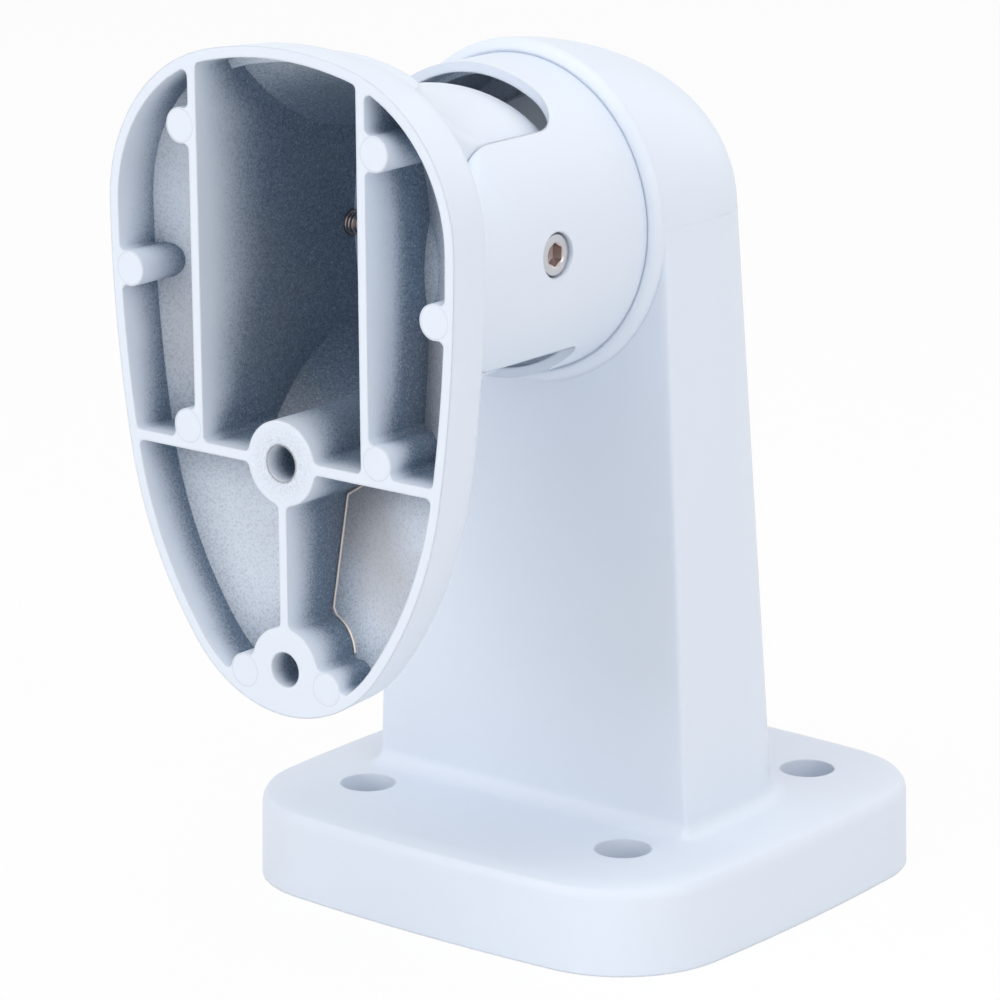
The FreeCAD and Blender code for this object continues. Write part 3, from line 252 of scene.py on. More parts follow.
class Wire:
    """A shader value that can be written in arithmetic."""

    def __init__(self, graph: Graph, socket: bpy.types.NodeSocket) -> None:
        """Keep the graph and the socket."""
        self.graph = graph
        self.socket = socket

    def __add__(self, other: object) -> "Wire":
        """Add."""
        return self.graph.maths("ADD", self, other)

    def __sub__(self, other: object) -> "Wire":
        """Subtract."""
        return self.graph.maths("SUBTRACT", self, other)

    def __rsub__(self, other: object) -> "Wire":
        """Subtract from."""
        return self.graph.maths("SUBTRACT", other, self)

    def __mul__(self, other: object) -> "Wire":
        """Multiply."""
        return self.graph.maths("MULTIPLY", self, other)

    __radd__ = __add__
    __rmul__ = __mul__

    def magnitude(self) -> "Wire":
        """Absolute value."""
        return self.graph.maths("ABSOLUTE", self)

    def at_most(self, other: object) -> "Wire":
        """The lesser."""
        return self.graph.maths("MINIMUM", self, other)

    def at_least(self, other: object) -> "Wire":
        """The greater."""
        return self.graph.maths("MAXIMUM", self, other)


# Finishes


@dataclass(frozen=True)
class PowderCoat:
    """Satin white powder coat with a fine orange peel and the witness rings of ejector pins."""

    name: str = "powder_coat_white"
    colour: tuple = (0.760, 0.820, 0.915)
    roughness: float = 0.42
    edge: float = 0.0008
    rings: tuple = ()
    ring_radius: float = 0.00395
    ring_width: float = 0.00022
    ring_colour: tuple = (0.3, 0.34, 0.4)
    ring_share: float = 0.2
    ring_depth: float = 4.0
    thin_round: tuple = ()
    thin_spread: tuple = (0.45, 1.15)
    thin_colour: tuple = (0.34, 0.42, 0.50)
    thin_share: float = 0.38
    worn_edge: tuple = (0.0044, 0.0050)
    worn_colour: tuple = (0.16, 0.15, 0.15)
    worn_share: float = 0.7

    def build(self) -> bpy.types.Material:
        """Make the material.

        Returns:
            The material.
        """
        graph = Graph(self.name)
        coordinate, x, y, z = graph.place()
        peel = graph.noise(coordinate, PEEL_SCALE, 2.0)
        cloud = graph.noise(coordinate, 25.0, 3.0)
        tone = graph.blend(cloud, self.colour, tuple(part * 0.985 for part in self.colour))
        height = peel
        if self.rings:
            groove = self.groove(graph, x, y, z)
            tone = graph.blend(groove * self.ring_share, tone, self.ring_colour)
            height = peel - groove * self.ring_depth
        if self.thin_round:
            level, radius = self.thin_round
            near, far = (radius * share for share in self.thin_spread)
            reach = graph.distance(x, z - level)
            grain = graph.noise(coordinate, 1900.0, 2.0, 0.6)
            thin = (1.0 - graph.soft_step(reach, near, far)) * graph.soft_step(grain, 0.3, 0.7)
            tone = graph.blend(thin * self.thin_share, tone, self.thin_colour)
            rough_reach = reach + (grain - 0.5) * 0.0012
            worn = (1.0 - graph.soft_step(rough_reach, *self.worn_edge)) * self.worn_share
            tone = graph.blend(worn, tone, self.worn_colour)
        normal = graph.bump(height, 0.00003, 0.35, graph.eased(self.edge))
        return graph.surface(
            Base_Color=tone, Roughness=self.roughness + (peel - 0.5) * 0.08, Normal=normal,
            Specular_IOR_Level=COAT_SPECULAR,
        )

    def groove(self, graph: Graph, x: "Wire", y: "Wire", z: "Wire") -> "Wire":
        """Find the witness rings.

        Args:
            graph: the material's nodes.
            x: the place along X.
            y: the place along Y.
            z: the place along Z.

        Returns:
            1 on the rings and 0 elsewhere.
        """
        nearest = None
        for across, level in self.rings:
            reach = (graph.distance(x.magnitude() - across, z - level) - self.ring_radius).magnitude()
            nearest = reach if nearest is None else nearest.at_most(reach)
        on_lip = 1.0 - graph.soft_step(y - AXES.lip_y, 0.0002, 0.0006)
        return (1.0 - graph.soft_step(nearest, self.ring_width * 0.3, self.ring_width)) * on_lip


@dataclass(frozen=True)
class ThinCoatAndShade:
    """Powder coat that thins out in a hollow, with painted shade: pale near its mouth, grey and grainy on
    its deep walls, greying sooner in corners and towards the bottom.
    """

    name: str = "powder_coat_thin_and_shade"
    colour: tuple = (0.760, 0.820, 0.915)
    grey: tuple = (0.182, 0.252, 0.348)
    metal: tuple = (0.36, 0.31, 0.285)
    mouth: float = AXES.lip_y
    fade: tuple = (0.0012, 0.0185)
    floor_share: float = 0.02
    grain: float = 0.5
    bare: float = 0.42
    deep: tuple = (0.020, 0.040)
    reach: float = 0.012
    roughness: float = 0.45
    edge: float = 0.0008
    darker_below: tuple = (0.125, 0.175)
    plain_gain: float = 0.70
    corner_gain: float = 2.0
    low_gain: float = 0.6
    wall_share: float = 0.97
    corner_share: float = 0.85
    stained: tuple = (0.009, 0.017)
    mist: float = 0.005

    def build(self) -> bpy.types.Material:
        """Make the material.

        Returns:
            The material.
        """
        graph = Graph(self.name)
        coordinate, _, y, z = graph.place()
        _, normal_y, _ = graph.facing()
        cloud = graph.noise(coordinate, 45.0, 3.0)
        depth = y - self.mouth + (cloud - 0.5) * self.mist
        # occlusion of the place drives painted shade in corners and creases
        closed = 1.0 - graph.openness(self.reach)
        wall = 1.0 - graph.soft_step(0.0 - normal_y, 0.35, 0.9)
        low = 1.0 - graph.soft_step(z, *self.darker_below)
        # painted shade: the grey sets in sooner in corners, partly also thinner coat there, and sooner
        # towards the bottom
        gain = closed * self.corner_gain + self.plain_gain + low * self.low_gain
        start = graph.soft_step(depth * gain, *self.fade)
        far = graph.soft_step(depth, *self.deep)
        on_floor = (closed * self.corner_share + self.floor_share + far).at_most(1.0)
        # shade mixes thinner coat with painted shade, deeper in the hollow
        shade = start * (wall * self.wall_share + (1.0 - wall) * on_floor)
        fine = graph.noise(coordinate, 2600.0, 2.0, 0.6)
        coarse = graph.noise(coordinate, 1500.0, 2.0, 0.6)
        dark_grain = graph.soft_step(1.0 - (fine * 0.5 + coarse * 0.5), 0.46, 0.62)
        flecks = graph.soft_step(fine * 0.7 + coarse * 0.3, 0.56, 0.68)
        # the grey stands for thinner coat and painted shade together
        body = graph.blend(shade, self.colour, self.grey)
        dark = tuple(part * 0.5 for part in self.grey)
        # the grain shows most where the coat is thin and the painted shade deep, and a little wherever it
        # starts to thin
        body = graph.blend(dark_grain * (shade * self.grain + start * 0.20), body, dark)
        body = graph.blend(flecks * (shade * 0.30 + start * 0.16), body, self.colour)
        stain = graph.soft_step(graph.noise(coordinate, 26.0, 2.0), 0.42, 0.66)
        bare = stain * graph.soft_step(depth, *self.stained) * (1.0 - wall * 0.7)
        tone = graph.blend(bare * self.bare, body, self.metal)
        peel = graph.noise(coordinate, PEEL_SCALE, 2.0)
        normal = graph.bump(peel + shade * fine * 1.5, 0.00004, 0.45, graph.eased(self.edge))
        return graph.surface(
            Base_Color=tone, Roughness=self.roughness + shade * 0.10, Normal=normal,
            Specular_IOR_Level=COAT_SPECULAR,
        )


@dataclass(frozen=True)
class Stainless:
    """Turned stainless steel, with a painted warm reflection in a screw's key socket when a radius is given.
    """

    name: str = "stainless_turned"
    colour: tuple = (0.60, 0.61, 0.65)
    roughness: float = 0.24
    socket_reflection_radius: float = 0.0
    socket_reflection_colour: tuple = (0.52, 0.42, 0.39)

    def build(self) -> bpy.types.Material:
        """Make the material.

        Returns:
            The material.
        """
        graph = Graph(self.name)
        coordinate, _, y, z = graph.place()
        fine = graph.noise(coordinate, 2400.0, 3.0)
        stain = graph.noise(coordinate, 180.0, 2.0)
        tone = graph.blend(stain, self.colour, tuple(part * 0.86 for part in self.colour))
        # painted reflection: a warm brown tone round the tilt screws' axis, in their key sockets
        if self.socket_reflection_radius:
            reach = graph.distance(y - AXES.tilt_y, z - AXES.axis_height)
            key = 1.0 - graph.soft_step(reach, self.socket_reflection_radius * 0.9, self.socket_reflection_radius)
            tone = graph.blend(key * (stain * 0.5 + 0.5), tone, self.socket_reflection_colour)
        return graph.surface(
            Base_Color=tone, Metallic=1.0, Roughness=self.roughness + fine * 0.16,
            Normal=graph.bump(fine, 0.00001, 0.25, graph.eased(0.00015)),
        )


@dataclass(frozen=True)
class Moulded:
    """Moulded plastic or rubber."""

    name: str
    colour: tuple
    roughness: float

    def build(self) -> bpy.types.Material:
        """Make the material.

        Returns:
            The material.
        """
        graph = Graph(self.name)
        coordinate, _, _, _ = graph.place()
        grain = graph.noise(coordinate, 1200.0, 3.0)
        cloud = graph.noise(coordinate, 70.0, 2.0)
        tone = graph.blend(cloud, self.colour, tuple(part * 1.25 for part in self.colour))
        return graph.surface(
            Base_Color=tone, Roughness=self.roughness + (grain - 0.5) * 0.12,
            Normal=graph.bump(grain, 0.00002, 0.3),
        )


# Sub-assemblies


def linked(name: str, data: bpy.types.ID) -> bpy.types.Object:
    """Make an object and link it to the scene.

    Args:
        name: the object's name.
        data: its mesh, lamp or camera.

    Returns:
        The object.
    """
    made = bpy.data.objects.new(name, data)
    bpy.context.scene.collection.objects.link(made)
    return made


def grown(source: bpy.types.Object, modifier: bpy.types.Modifier, values: dict) -> bpy.types.Mesh:
    """Turn what a node tree makes into a plain mesh, and remove the object that carries the tree.

    Args:
        source: the object that carries the tree.
        modifier: the modifier with the tree.
        values: the tree's inputs by name.

    Returns:
        The mesh.
    """
    for item in modifier.node_group.interface.items_tree:
        if item.in_out == "INPUT" and item.name in values:
            modifier[item.identifier] = values[item.name]
    graph = bpy.context.evaluated_depsgraph_get()
    graph.update()
    mesh = bpy.data.meshes.new_from_object(source.evaluated_get(graph))
    bpy.data.objects.remove(source)
    return mesh


def dressed_copy(node: str, name: str, material: bpy.types.Material, body: Body) -> bpy.types.Object:
    """Copy a CAD node with joined corners and smooth shading, to stand for the node.

    Args:
        node: the CAD node.
        name: the new piece's name.
        material: its finish.
        body: the body that it rides on.

    Returns:
        The new piece.
    """
    mesh = frame["nodes"][node].data.copy()
    mesh.name = name
    work = bmesh.new()
    work.from_mesh(mesh)
    bmesh.ops.remove_doubles(work, verts=work.verts, dist=JOINED)
    bmesh.ops.dissolve_degenerate(work, edges=work.edges, dist=COLLAPSED)
    for face in work.faces:
        face.smooth = True
    for edge in work.edges:
        edge.smooth = len(edge.link_faces) == 2 and edge.calc_face_angle(0.0) < SHARP_CASTING
    work.to_mesh(mesh)
    work.free()
    kept_normals = mesh.attributes.get("custom_normal")
    if kept_normals is not None:
        mesh.attributes.remove(kept_normals)
    mesh.materials.clear()
    mesh.materials.append(material)
    piece = linked(name, mesh)
    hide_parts(node)
    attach(piece, body.value)
    return piece


@dataclass(frozen=True)
class Hollow:
    """Rule that tells the faces inside a casting's hollow from the outside: a flood from its floors."""

    seeds: Callable[[Vector, Vector], bool]
    walls: Callable[[Vector, Vector], bool]
    added: Callable[[Vector, Vector], bool] = lambda place, normal: False

    def mark(self, piece: bpy.types.Object, finish: bpy.types.Material) -> int:
        """Give the hollow's faces a second finish.

        Args:
            piece: the casting.
            finish: the finish inside.

        Returns:
            How many faces lie inside.
        """
        mesh = piece.data
        mesh.materials.append(finish)
        work = bmesh.new()
        work.from_mesh(mesh)
        places = {face: (face.calc_center_median(), face.normal) for face in work.faces}
        stopped = {face for face, place in places.items() if self.walls(*place)}
        inside = {face for face, place in places.items() if face not in stopped and self.seeds(*place)}
        edge_of_flood = list(inside)
        while edge_of_flood:
            face = edge_of_flood.pop()
            for edge in face.edges:
                for near in edge.link_faces:
                    if near not in inside and near not in stopped:
                        inside.add(near)
                        edge_of_flood.append(near)
        inside |= {face for face, place in places.items() if self.added(*place)}
        for face in inside:
            face.material_index = 1
        work.to_mesh(mesh)
        work.free()
        return len(inside)


@dataclass
class Ridge:
    """Thin ridge of metal that follows lines on the plate's floors."""

    name: str
    lines: list
    radius: float

    def tree(self, material: bpy.types.Material) -> bpy.types.NodeTree:
        """Make the node tree that gives each line a round body.

        Args:
            material: the ridge's finish.

        Returns:
            The tree, with an input for the radius.
        """
        tree = bpy.data.node_groups.new(self.name, "GeometryNodeTree")
        tree.interface.new_socket(name="Geometry", in_out="INPUT", socket_type="NodeSocketGeometry")
        tree.interface.new_socket(name="Radius", in_out="INPUT", socket_type="NodeSocketFloat")
        tree.interface.new_socket(name="Geometry", in_out="OUTPUT", socket_type="NodeSocketGeometry")
        given = tree.nodes.new("NodeGroupInput")
        curve = tree.nodes.new("GeometryNodeMeshToCurve")
        tree.links.new(given.outputs["Geometry"], curve.inputs["Mesh"])
        profile = tree.nodes.new("GeometryNodeCurvePrimitiveCircle")
        profile.inputs["Resolution"].default_value = 8
        tree.links.new(given.outputs["Radius"], profile.inputs["Radius"])
        body = tree.nodes.new("GeometryNodeCurveToMesh")
        body.inputs["Fill Caps"].default_value = True
        tree.links.new(curve.outputs[0], body.inputs["Curve"])
        tree.links.new(profile.outputs["Curve"], body.inputs["Profile Curve"])
        plain = tree.nodes.new("GeometryNodeRealizeInstances")
        tree.links.new(body.outputs[0], plain.inputs[0])
        dressed = tree.nodes.new("GeometryNodeSetMaterial")
        dressed.inputs["Material"].default_value = material
        tree.links.new(plain.outputs[0], dressed.inputs["Geometry"])
        out = tree.nodes.new("NodeGroupOutput")
        tree.links.new(dressed.outputs[0], out.inputs[0])
        return tree

    def build(self, material: bpy.types.Material) -> bpy.types.Object:
        """Make the ridges as one piece on the plate.

        Args:
            material: the ridge's finish.

        Returns:
            The piece.
        """
        points, edges = [], []
        for line in self.lines:
            start = len(points)
            points.extend(tuple(point) for point in line)
            edges.extend((start + step, start + step + 1) for step in range(len(line) - 1))
        paths = bpy.data.meshes.new(self.name + "_paths")
        paths.from_pydata(points, edges, [])
        guide = linked(self.name + "_paths", paths)
        modifier = guide.modifiers.new("ridge", "NODES")
        modifier.node_group = self.tree(material)
        mesh = grown(guide, modifier, {"Radius": self.radius})
        return finished(mesh, self.name, material, Body.PLATE)


def finished(mesh: bpy.types.Mesh, name: str, material: bpy.types.Material, body: Body) -> bpy.types.Object:
    """Make a smooth piece on its body.

    Args:
        mesh: the piece's mesh.
        name: the piece's name.
        material: its finish.
        body: the body that it rides on.

    Returns:
        The piece.
    """
    mesh.name = name
    mesh.materials.clear()
    mesh.materials.append(material)
    for face in mesh.polygons:
        face.material_index = 0
        face.use_smooth = True
    piece = linked(name, mesh)
    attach(piece, body.value)
    return piece


@dataclass
class Castings:
    """The three castings and their powder coat."""

    coat: PowderCoat = PowderCoat()
    plate_coat: PowderCoat = PowderCoat(
        name="powder_coat_plate",
        rings=((0.0294, 0.2062), (0.0465, 0.1701), (0.0291, 0.1345), (0.0127, 0.0775)),
        thin_round=(0.130, 0.0103),
    )
    # bays and chamber grey inwards: thinner coat mixed with painted shade in deep and closed parts; the
    # arm's hollow is grey all over
    bays: ThinCoatAndShade = ThinCoatAndShade()
    chamber: ThinCoatAndShade = ThinCoatAndShade(
        name="powder_coat_chamber", grey=(0.66, 0.745, 0.85), mouth=-0.0924, fade=(0.0, 0.004), reach=0.02,
        grain=0.3, bare=0.0,
    )
    hollow: ThinCoatAndShade = ThinCoatAndShade(
        name="powder_coat_hollow", grey=(0.40, 0.47, 0.55), mouth=-0.3, floor_share=0.5, reach=0.02,
    )
    facing: float = 0.9
    pad_depth: float = 0.003
    floor_depth: float = 0.05
    throat_depth: float = 0.055
    throat_half: float = 0.0245
    pocket_back: float = -0.0585
    knuckle_depth: float = 0.03
    knuckle_half: float = 0.0255
    hole_levels: tuple = (0.130, 0.080)
    hole_radius: float = 0.00425
    screw_bore: float = 0.0034
    chamber_floor: float = 0.0366
    chamber_wall: float = 0.0385
    web_front: float = -0.0055
    seat_radius: float = 0.0425
    cable_bore: float = 0.0125
    bolt_holes: tuple = ((0.041, 0.039), (0.041, -0.039), (-0.041, 0.039), (-0.041, -0.039))
    bolt_reach: float = 0.0075
    bead_radii: tuple = (0.03902, 0.03924)
    bead_ends: tuple = (-0.02712, -0.02500)
    bead_sides: int = 192
    boss_reach: float = 0.0107
    rib_side: float = 0.00175
    rib_top: float = 0.1185
    rib_step: float = 0.0014
    ridge_depth: float = 0.006
    ridge_radius: float = 0.00042

    def in_bay(self, place: Vector, normal: Vector) -> bool:
        """Tell whether a plate face is a bay's floor or the throat's wall.

        Args:
            place: the face's middle.
            normal: its direction.

        Returns:
            Whether the flood starts there.
        """
        depth = place.y - AXES.lip_y
        away = Vector((place.x, 0.0, place.z - AXES.axis_height))
        on_floor = normal.y < -self.facing and self.pad_depth < depth < self.floor_depth
        between = abs(place.x) < self.throat_half and self.pad_depth < depth < self.throat_depth
        return on_floor or (between and normal.dot(away.normalized()) < -0.3)

    def in_hole(self, place: Vector, normal: Vector) -> bool:
        """Tell whether a plate face belongs to a camera hole's wall."""
        near = min(math.hypot(place.x, place.z - level) for level in self.hole_levels)
        return near < self.hole_radius + 0.0002 and abs(normal.y) < 0.1

    def bounds_bay(self, place: Vector, normal: Vector) -> bool:
        """Tell whether a plate face bounds the bays: the lip, the window, a camera hole or a screw's bore.

        Args:
            place: the face's middle.
            normal: its direction.

        Returns:
            Whether the flood stops there.
        """
        on_lip = normal.y < -0.99 and place.y - AXES.lip_y < 0.0001
        to_axis = math.hypot(place.y - AXES.tilt_y, place.z - AXES.axis_height)
        in_bore = to_axis < self.screw_bore and abs(normal.x) < 0.2
        outside_bore = place.y > AXES.lip_y + self.knuckle_depth and abs(place.x) > self.knuckle_half
        behind = place.y > self.pocket_back or normal.y > 0.5
        return on_lip or in_bore or outside_bore or behind or self.in_hole(place, normal)

    def in_chamber(self, place: Vector, normal: Vector) -> bool:
        """Tell whether a housing face looks inwards.

        Args:
            place: the face's middle.
            normal: its direction.

        Returns:
            Whether it belongs to the chamber.
        """
        away = Vector((place.x, 0.0, place.z - AXES.axis_height))
        if away.length < self.chamber_floor and abs(normal.y) > self.facing:
            return True
        return away.length < self.chamber_wall and normal.dot(away.normalized()) < -0.6

    def bounds_chamber(self, place: Vector, normal: Vector) -> bool:
        """Tell whether a housing face is outside its chamber."""
        return not self.in_chamber(place, normal)

    def in_arm(self, place: Vector, normal: Vector) -> bool:
        """Tell whether an arm face is a ceiling of its hollow, seen from below."""
        return normal.z < -self.facing and place.z > 0.004

    def bounds_arm(self, place: Vector, normal: Vector) -> bool:
        """Tell whether an arm face bounds its hollow: the wall side, the front of the web or a bore.

        Args:
            place: the face's middle.
            normal: its direction.

        Returns:
            Whether the flood stops there.
        """
        on_wall = place.z < 0.0001 and normal.z < -self.facing
        away = math.hypot(place.x, place.z - AXES.axis_height)
        before_web = place.y < self.web_front and away < self.seat_radius
        to_bolt = min(math.hypot(place.x - across, place.y - along) for across, along in self.bolt_holes)
        return on_wall or before_web or to_bolt < self.bolt_reach or away < self.cable_bore

    def build(self) -> list[bpy.types.Object]:
        """Make the castings' pieces.

        Returns:
            The pieces.
        """
        coat = self.coat.build()
        arm = dressed_copy("wall_arm", "arm_casting", coat, Body.ARM)
        housing = dressed_copy("swivel_housing", "housing_casting", coat, Body.SWIVEL)
        plate_coat = self.plate_coat.build()
        plate = dressed_copy("camera_plate", "plate_casting", plate_coat, Body.PLATE)
        for piece, rules, finish in (
            (plate, (self.in_bay, self.bounds_bay, self.in_hole), self.bays),
            (housing, (self.in_chamber, self.bounds_chamber), self.chamber),
            (arm, (self.in_arm, self.bounds_arm), self.hollow),
        ):
            LOG.info("%s has %d faces inside", piece.name, Hollow(*rules).mark(piece, finish.build()))
        return [arm, housing, plate, self.seam_bead(coat), *self.flash(plate)]

    def seam_bead(self, coat: bpy.types.Material) -> bpy.types.Object:
        """Make the bead of paint just behind the rim, in the seam round the housing.

        Args:
            coat: the arm's finish.

        Returns:
            The piece.
        """
        inner, outer = self.bead_radii
        front, back = self.bead_ends
        rows = ((inner, front), (outer, front), (outer, back), (inner, back))
        points = []
        for number in range(self.bead_sides):
            angle = 2.0 * math.pi * number / self.bead_sides
            for radius, y in rows:
                points.append((radius * math.cos(angle), y, AXES.axis_height + radius * math.sin(angle)))
        faces = []
        for number in range(self.bead_sides):
            here, after = number * 4, (number + 1) % self.bead_sides * 4
            for row in range(4):
                beside = (row + 1) % 4
                faces.append((here + row, here + beside, after + beside, after + row))
        mesh = bpy.data.meshes.new("seam_bead")
        mesh.from_pydata(points, [], faces)
        work = bmesh.new()
        work.from_mesh(mesh)
        bmesh.ops.recalc_face_normals(work, faces=work.faces)
        work.to_mesh(mesh)
        work.free()
        mesh.materials.append(coat)
        bead = linked("seam_bead", mesh)
        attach(bead, Body.ARM.value)
        return bead

    def flash(self, plate: bpy.types.Object) -> list[bpy.types.Object]:
        """Make the thin bare ridges where the lower bays' floors meet rib and bosses.

        Args:
            plate: the plate's piece, on whose floors the ridges lie.

        Returns:
            The ridges.
        """
        finish = Stainless(name="bare_ridge", colour=(0.80, 0.74, 0.69), roughness=0.42).build()
        tree = BVHTree.FromObject(plate, bpy.context.evaluated_depsgraph_get())
        upper, lower = self.hole_levels
        reach = self.boss_reach
        lines = []
        for side in (1, -1):
            angles = [math.radians(step * 5.0 - 70.0) for step in range(8, 3, -1)]
            route = [(side * reach * math.cos(angle), upper + reach * math.sin(angle)) for angle in angles]
            route += [(side * self.rib_side, self.rib_top - self.rib_step * step) for step in range(20)]
            angles = [math.radians(80.0 - step * 6.5) for step in range(1, 17)]
            route += [(side * reach * math.cos(angle), lower + reach * math.sin(angle)) for angle in angles]
            points = []
            for x, z in route:
                hit = tree.ray_cast(Vector((x, AXES.lip_y - 0.01, z)), Vector((0.0, 1.0, 0.0)))[0]
                if hit is not None and hit.y - AXES.lip_y > self.ridge_depth:
                    points.append(hit)
            lines.append(points)
        ridge = Ridge("floor_ridges", lines, self.ridge_radius)
        return [ridge.build(finish)]


@dataclass
class CapScrews:
    """Socket head cap screws of one size on one body, with a rolled thread."""

    name: str
    nodes: tuple
    body: Body
    places: tuple
    thread_radius: float
    length: float
    head_radius: float
    head_height: float
    key_width: float
    key_depth: float
    pitch: float
    sides: int = 48
    core_share: float = 0.55
    ease_share: float = 0.12
    ridge_share: float = 0.42
    run_out: float = 1.3

    def rings(self) -> list[tuple]:
        """List the screw's rings from the tip to the key's bottom.

        Returns:
            Each ring's height and radius, where None stands for the hexagon of the key.
        """
        core = self.thread_radius - self.core_share * self.pitch
        ease = self.head_radius * self.ease_share
        top = -self.head_height
        return [
            (self.length, 0.0),
            (self.length, core * 0.72),
            (self.length - core * 0.28, core),
            (0.0006, core),
            (0.0003, self.thread_radius),
            (0.0, self.thread_radius * 1.05),
            (0.0, self.head_radius - ease * 0.5),
            (-ease * 0.5, self.head_radius),
            (top + ease, self.head_radius),
            (top + ease * 0.3, self.head_radius - ease * 0.25),
            (top, self.head_radius - ease),
            (top, self.key_width * 0.62),
            (top + ease * 0.5, None),
            (top + self.key_depth, None),
            (top + self.key_depth + self.key_width * 0.12, 0.0),
        ]

    def blank(self) -> bpy.types.Mesh:
        """Turn the rings into a closed mesh about +Z.

        Returns:
            The mesh.
        """
        work = bmesh.new()
        sixth = math.pi / 3.0
        loops = []
        for height, radius in self.rings():
            if radius == 0.0:
                loops.append([work.verts.new((0.0, 0.0, height))])
                continue
            loop = []
            for number in range(self.sides):
                angle = 2.0 * math.pi * number / self.sides
                reach = radius
                if radius is None:
                    reach = self.key_width / 2.0 / math.cos(angle % sixth - sixth / 2.0)
                loop.append(work.verts.new((reach * math.cos(angle), reach * math.sin(angle), height)))
            loops.append(loop)
        for low, high in zip(loops, loops[1:]):
            for number in range(self.sides):
                after = (number + 1) % self.sides
                if len(low) == 1:
                    work.faces.new((low[0], high[after], high[number]))
                elif len(high) == 1:
                    work.faces.new((low[number], low[after], high[0]))
                else:
                    work.faces.new((low[number], low[after], high[after], high[number]))
        bmesh.ops.recalc_face_normals(work, faces=work.faces)
        for face in work.faces:
            face.smooth = True
        for edge in work.edges:
            edge.smooth = edge.calc_face_angle(0.0) < SHARP_SCREW
        mesh = bpy.data.meshes.new(self.name + "_blank")
        work.to_mesh(mesh)
        work.free()
        return mesh

    def thread_tree(self, material: bpy.types.Material) -> bpy.types.NodeTree:
        """Make the node tree that winds a thread round the blank.

        Args:
            material: the screw's finish.

        Returns:
            The tree, with inputs for the thread's radius, length, pitch and ridge.
        """
        tree = bpy.data.node_groups.new(self.name + "_thread", "GeometryNodeTree")
        sockets = tree.interface
        sockets.new_socket(name="Geometry", in_out="INPUT", socket_type="NodeSocketGeometry")
        for label in ("Radius", "Length", "Pitch", "Ridge"):
            sockets.new_socket(name=label, in_out="INPUT", socket_type="NodeSocketFloat")
        sockets.new_socket(name="Geometry", in_out="OUTPUT", socket_type="NodeSocketGeometry")
        add = tree.nodes.new
        link = tree.links.new
        given = add("NodeGroupInput")
        turns = add("ShaderNodeMath")
        turns.operation = "DIVIDE"
        link(given.outputs["Length"], turns.inputs[0])
        link(given.outputs["Pitch"], turns.inputs[1])
        helix = add("GeometryNodeCurveSpiral")
        helix.inputs["Resolution"].default_value = 32
        link(turns.outputs[0], helix.inputs["Rotations"])
        link(given.outputs["Radius"], helix.inputs["Start Radius"])
        link(given.outputs["Radius"], helix.inputs["End Radius"])
        link(given.outputs["Length"], helix.inputs["Height"])
        profile = add("GeometryNodeCurvePrimitiveCircle")
        profile.inputs["Resolution"].default_value = 4
        link(given.outputs["Ridge"], profile.inputs["Radius"])
        wound = add("GeometryNodeCurveToMesh")
        wound.inputs["Fill Caps"].default_value = True
        link(helix.outputs[0], wound.inputs["Curve"])
        link(profile.outputs["Curve"], wound.inputs["Profile Curve"])
        both = add("GeometryNodeJoinGeometry")
        link(wound.outputs[0], both.inputs[0])
        link(given.outputs["Geometry"], both.inputs[0])
        plain = add("GeometryNodeRealizeInstances")
        link(both.outputs[0], plain.inputs[0])
        dressed = add("GeometryNodeSetMaterial")
        dressed.inputs["Material"].default_value = material
        link(plain.outputs[0], dressed.inputs["Geometry"])
        out = add("NodeGroupOutput")
        link(dressed.outputs[0], out.inputs[0])
        return tree

    def build(self, material: bpy.types.Material) -> bpy.types.Object:
        """Make the screws as one piece on their body.

        Args:
            material: the screws' finish.

        Returns:
            The piece.
        """
        one = linked(self.name + "_one", self.blank())
        modifier = one.modifiers.new("thread", "NODES")
        modifier.node_group = self.thread_tree(material)
        ridge = self.pitch * self.ridge_share
        single = grown(one, modifier, {
            "Radius": self.thread_radius - ridge,
            "Length": self.length - self.pitch * self.run_out,
            "Pitch": self.pitch,
            "Ridge": ridge,
        })
        work = bmesh.new()
        for place, axis in self.places:
            turn = Vector((0.0, 0.0, 1.0)).rotation_difference(Vector(axis)).to_matrix().to_4x4()
            copy = single.copy()
            copy.transform(Matrix.Translation(Vector(place)) @ turn)
            work.from_mesh(copy)
            bpy.data.meshes.remove(copy)
        mesh = bpy.data.meshes.new(self.name)
        work.to_mesh(mesh)
        work.free()
        mesh.materials.append(material)
        for face in mesh.polygons:
            face.material_index = 0
        piece = linked(self.name, mesh)
        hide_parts(*self.nodes)
        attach(piece, self.body.value)
        return piece


def all_screws() -> list[CapScrews]:
    """Size the screws and place them.

    Returns:
        The tilt screws and the clamp screws.
    """
    seat, circle, clamp_seat = 0.0323, 0.016, -0.0169
    tilt = CapScrews(
        name="tilt_screws", nodes=("tilt_screw_right", "tilt_screw_left"), body=Body.PLATE,
        places=tuple(
            ((side * seat, AXES.tilt_y, AXES.axis_height), (-side, 0.0, 0.0)) for side in (1.0, -1.0)
        ),
        thread_radius=0.003, length=0.012, head_radius=0.005, head_height=0.006,
        key_width=0.005, key_depth=0.003, pitch=0.001,
    )
    half = circle * math.sqrt(0.5)
    corners = [(across * half, AXES.axis_height + up * half) for across in (1, -1) for up in (1, -1)]
    clamp = CapScrews(
        name="clamp_screws", nodes=tuple("clamp_screw_%d" % number for number in range(1, 5)), body=Body.ARM,
        places=tuple(((x, clamp_seat, z), (0.0, 1.0, 0.0)) for x, z in corners),
        thread_radius=0.002, length=0.012, head_radius=0.0035, head_height=0.004,
        key_width=0.003, key_depth=0.002, pitch=0.0007, sides=36,
    )
    return [tilt, clamp]


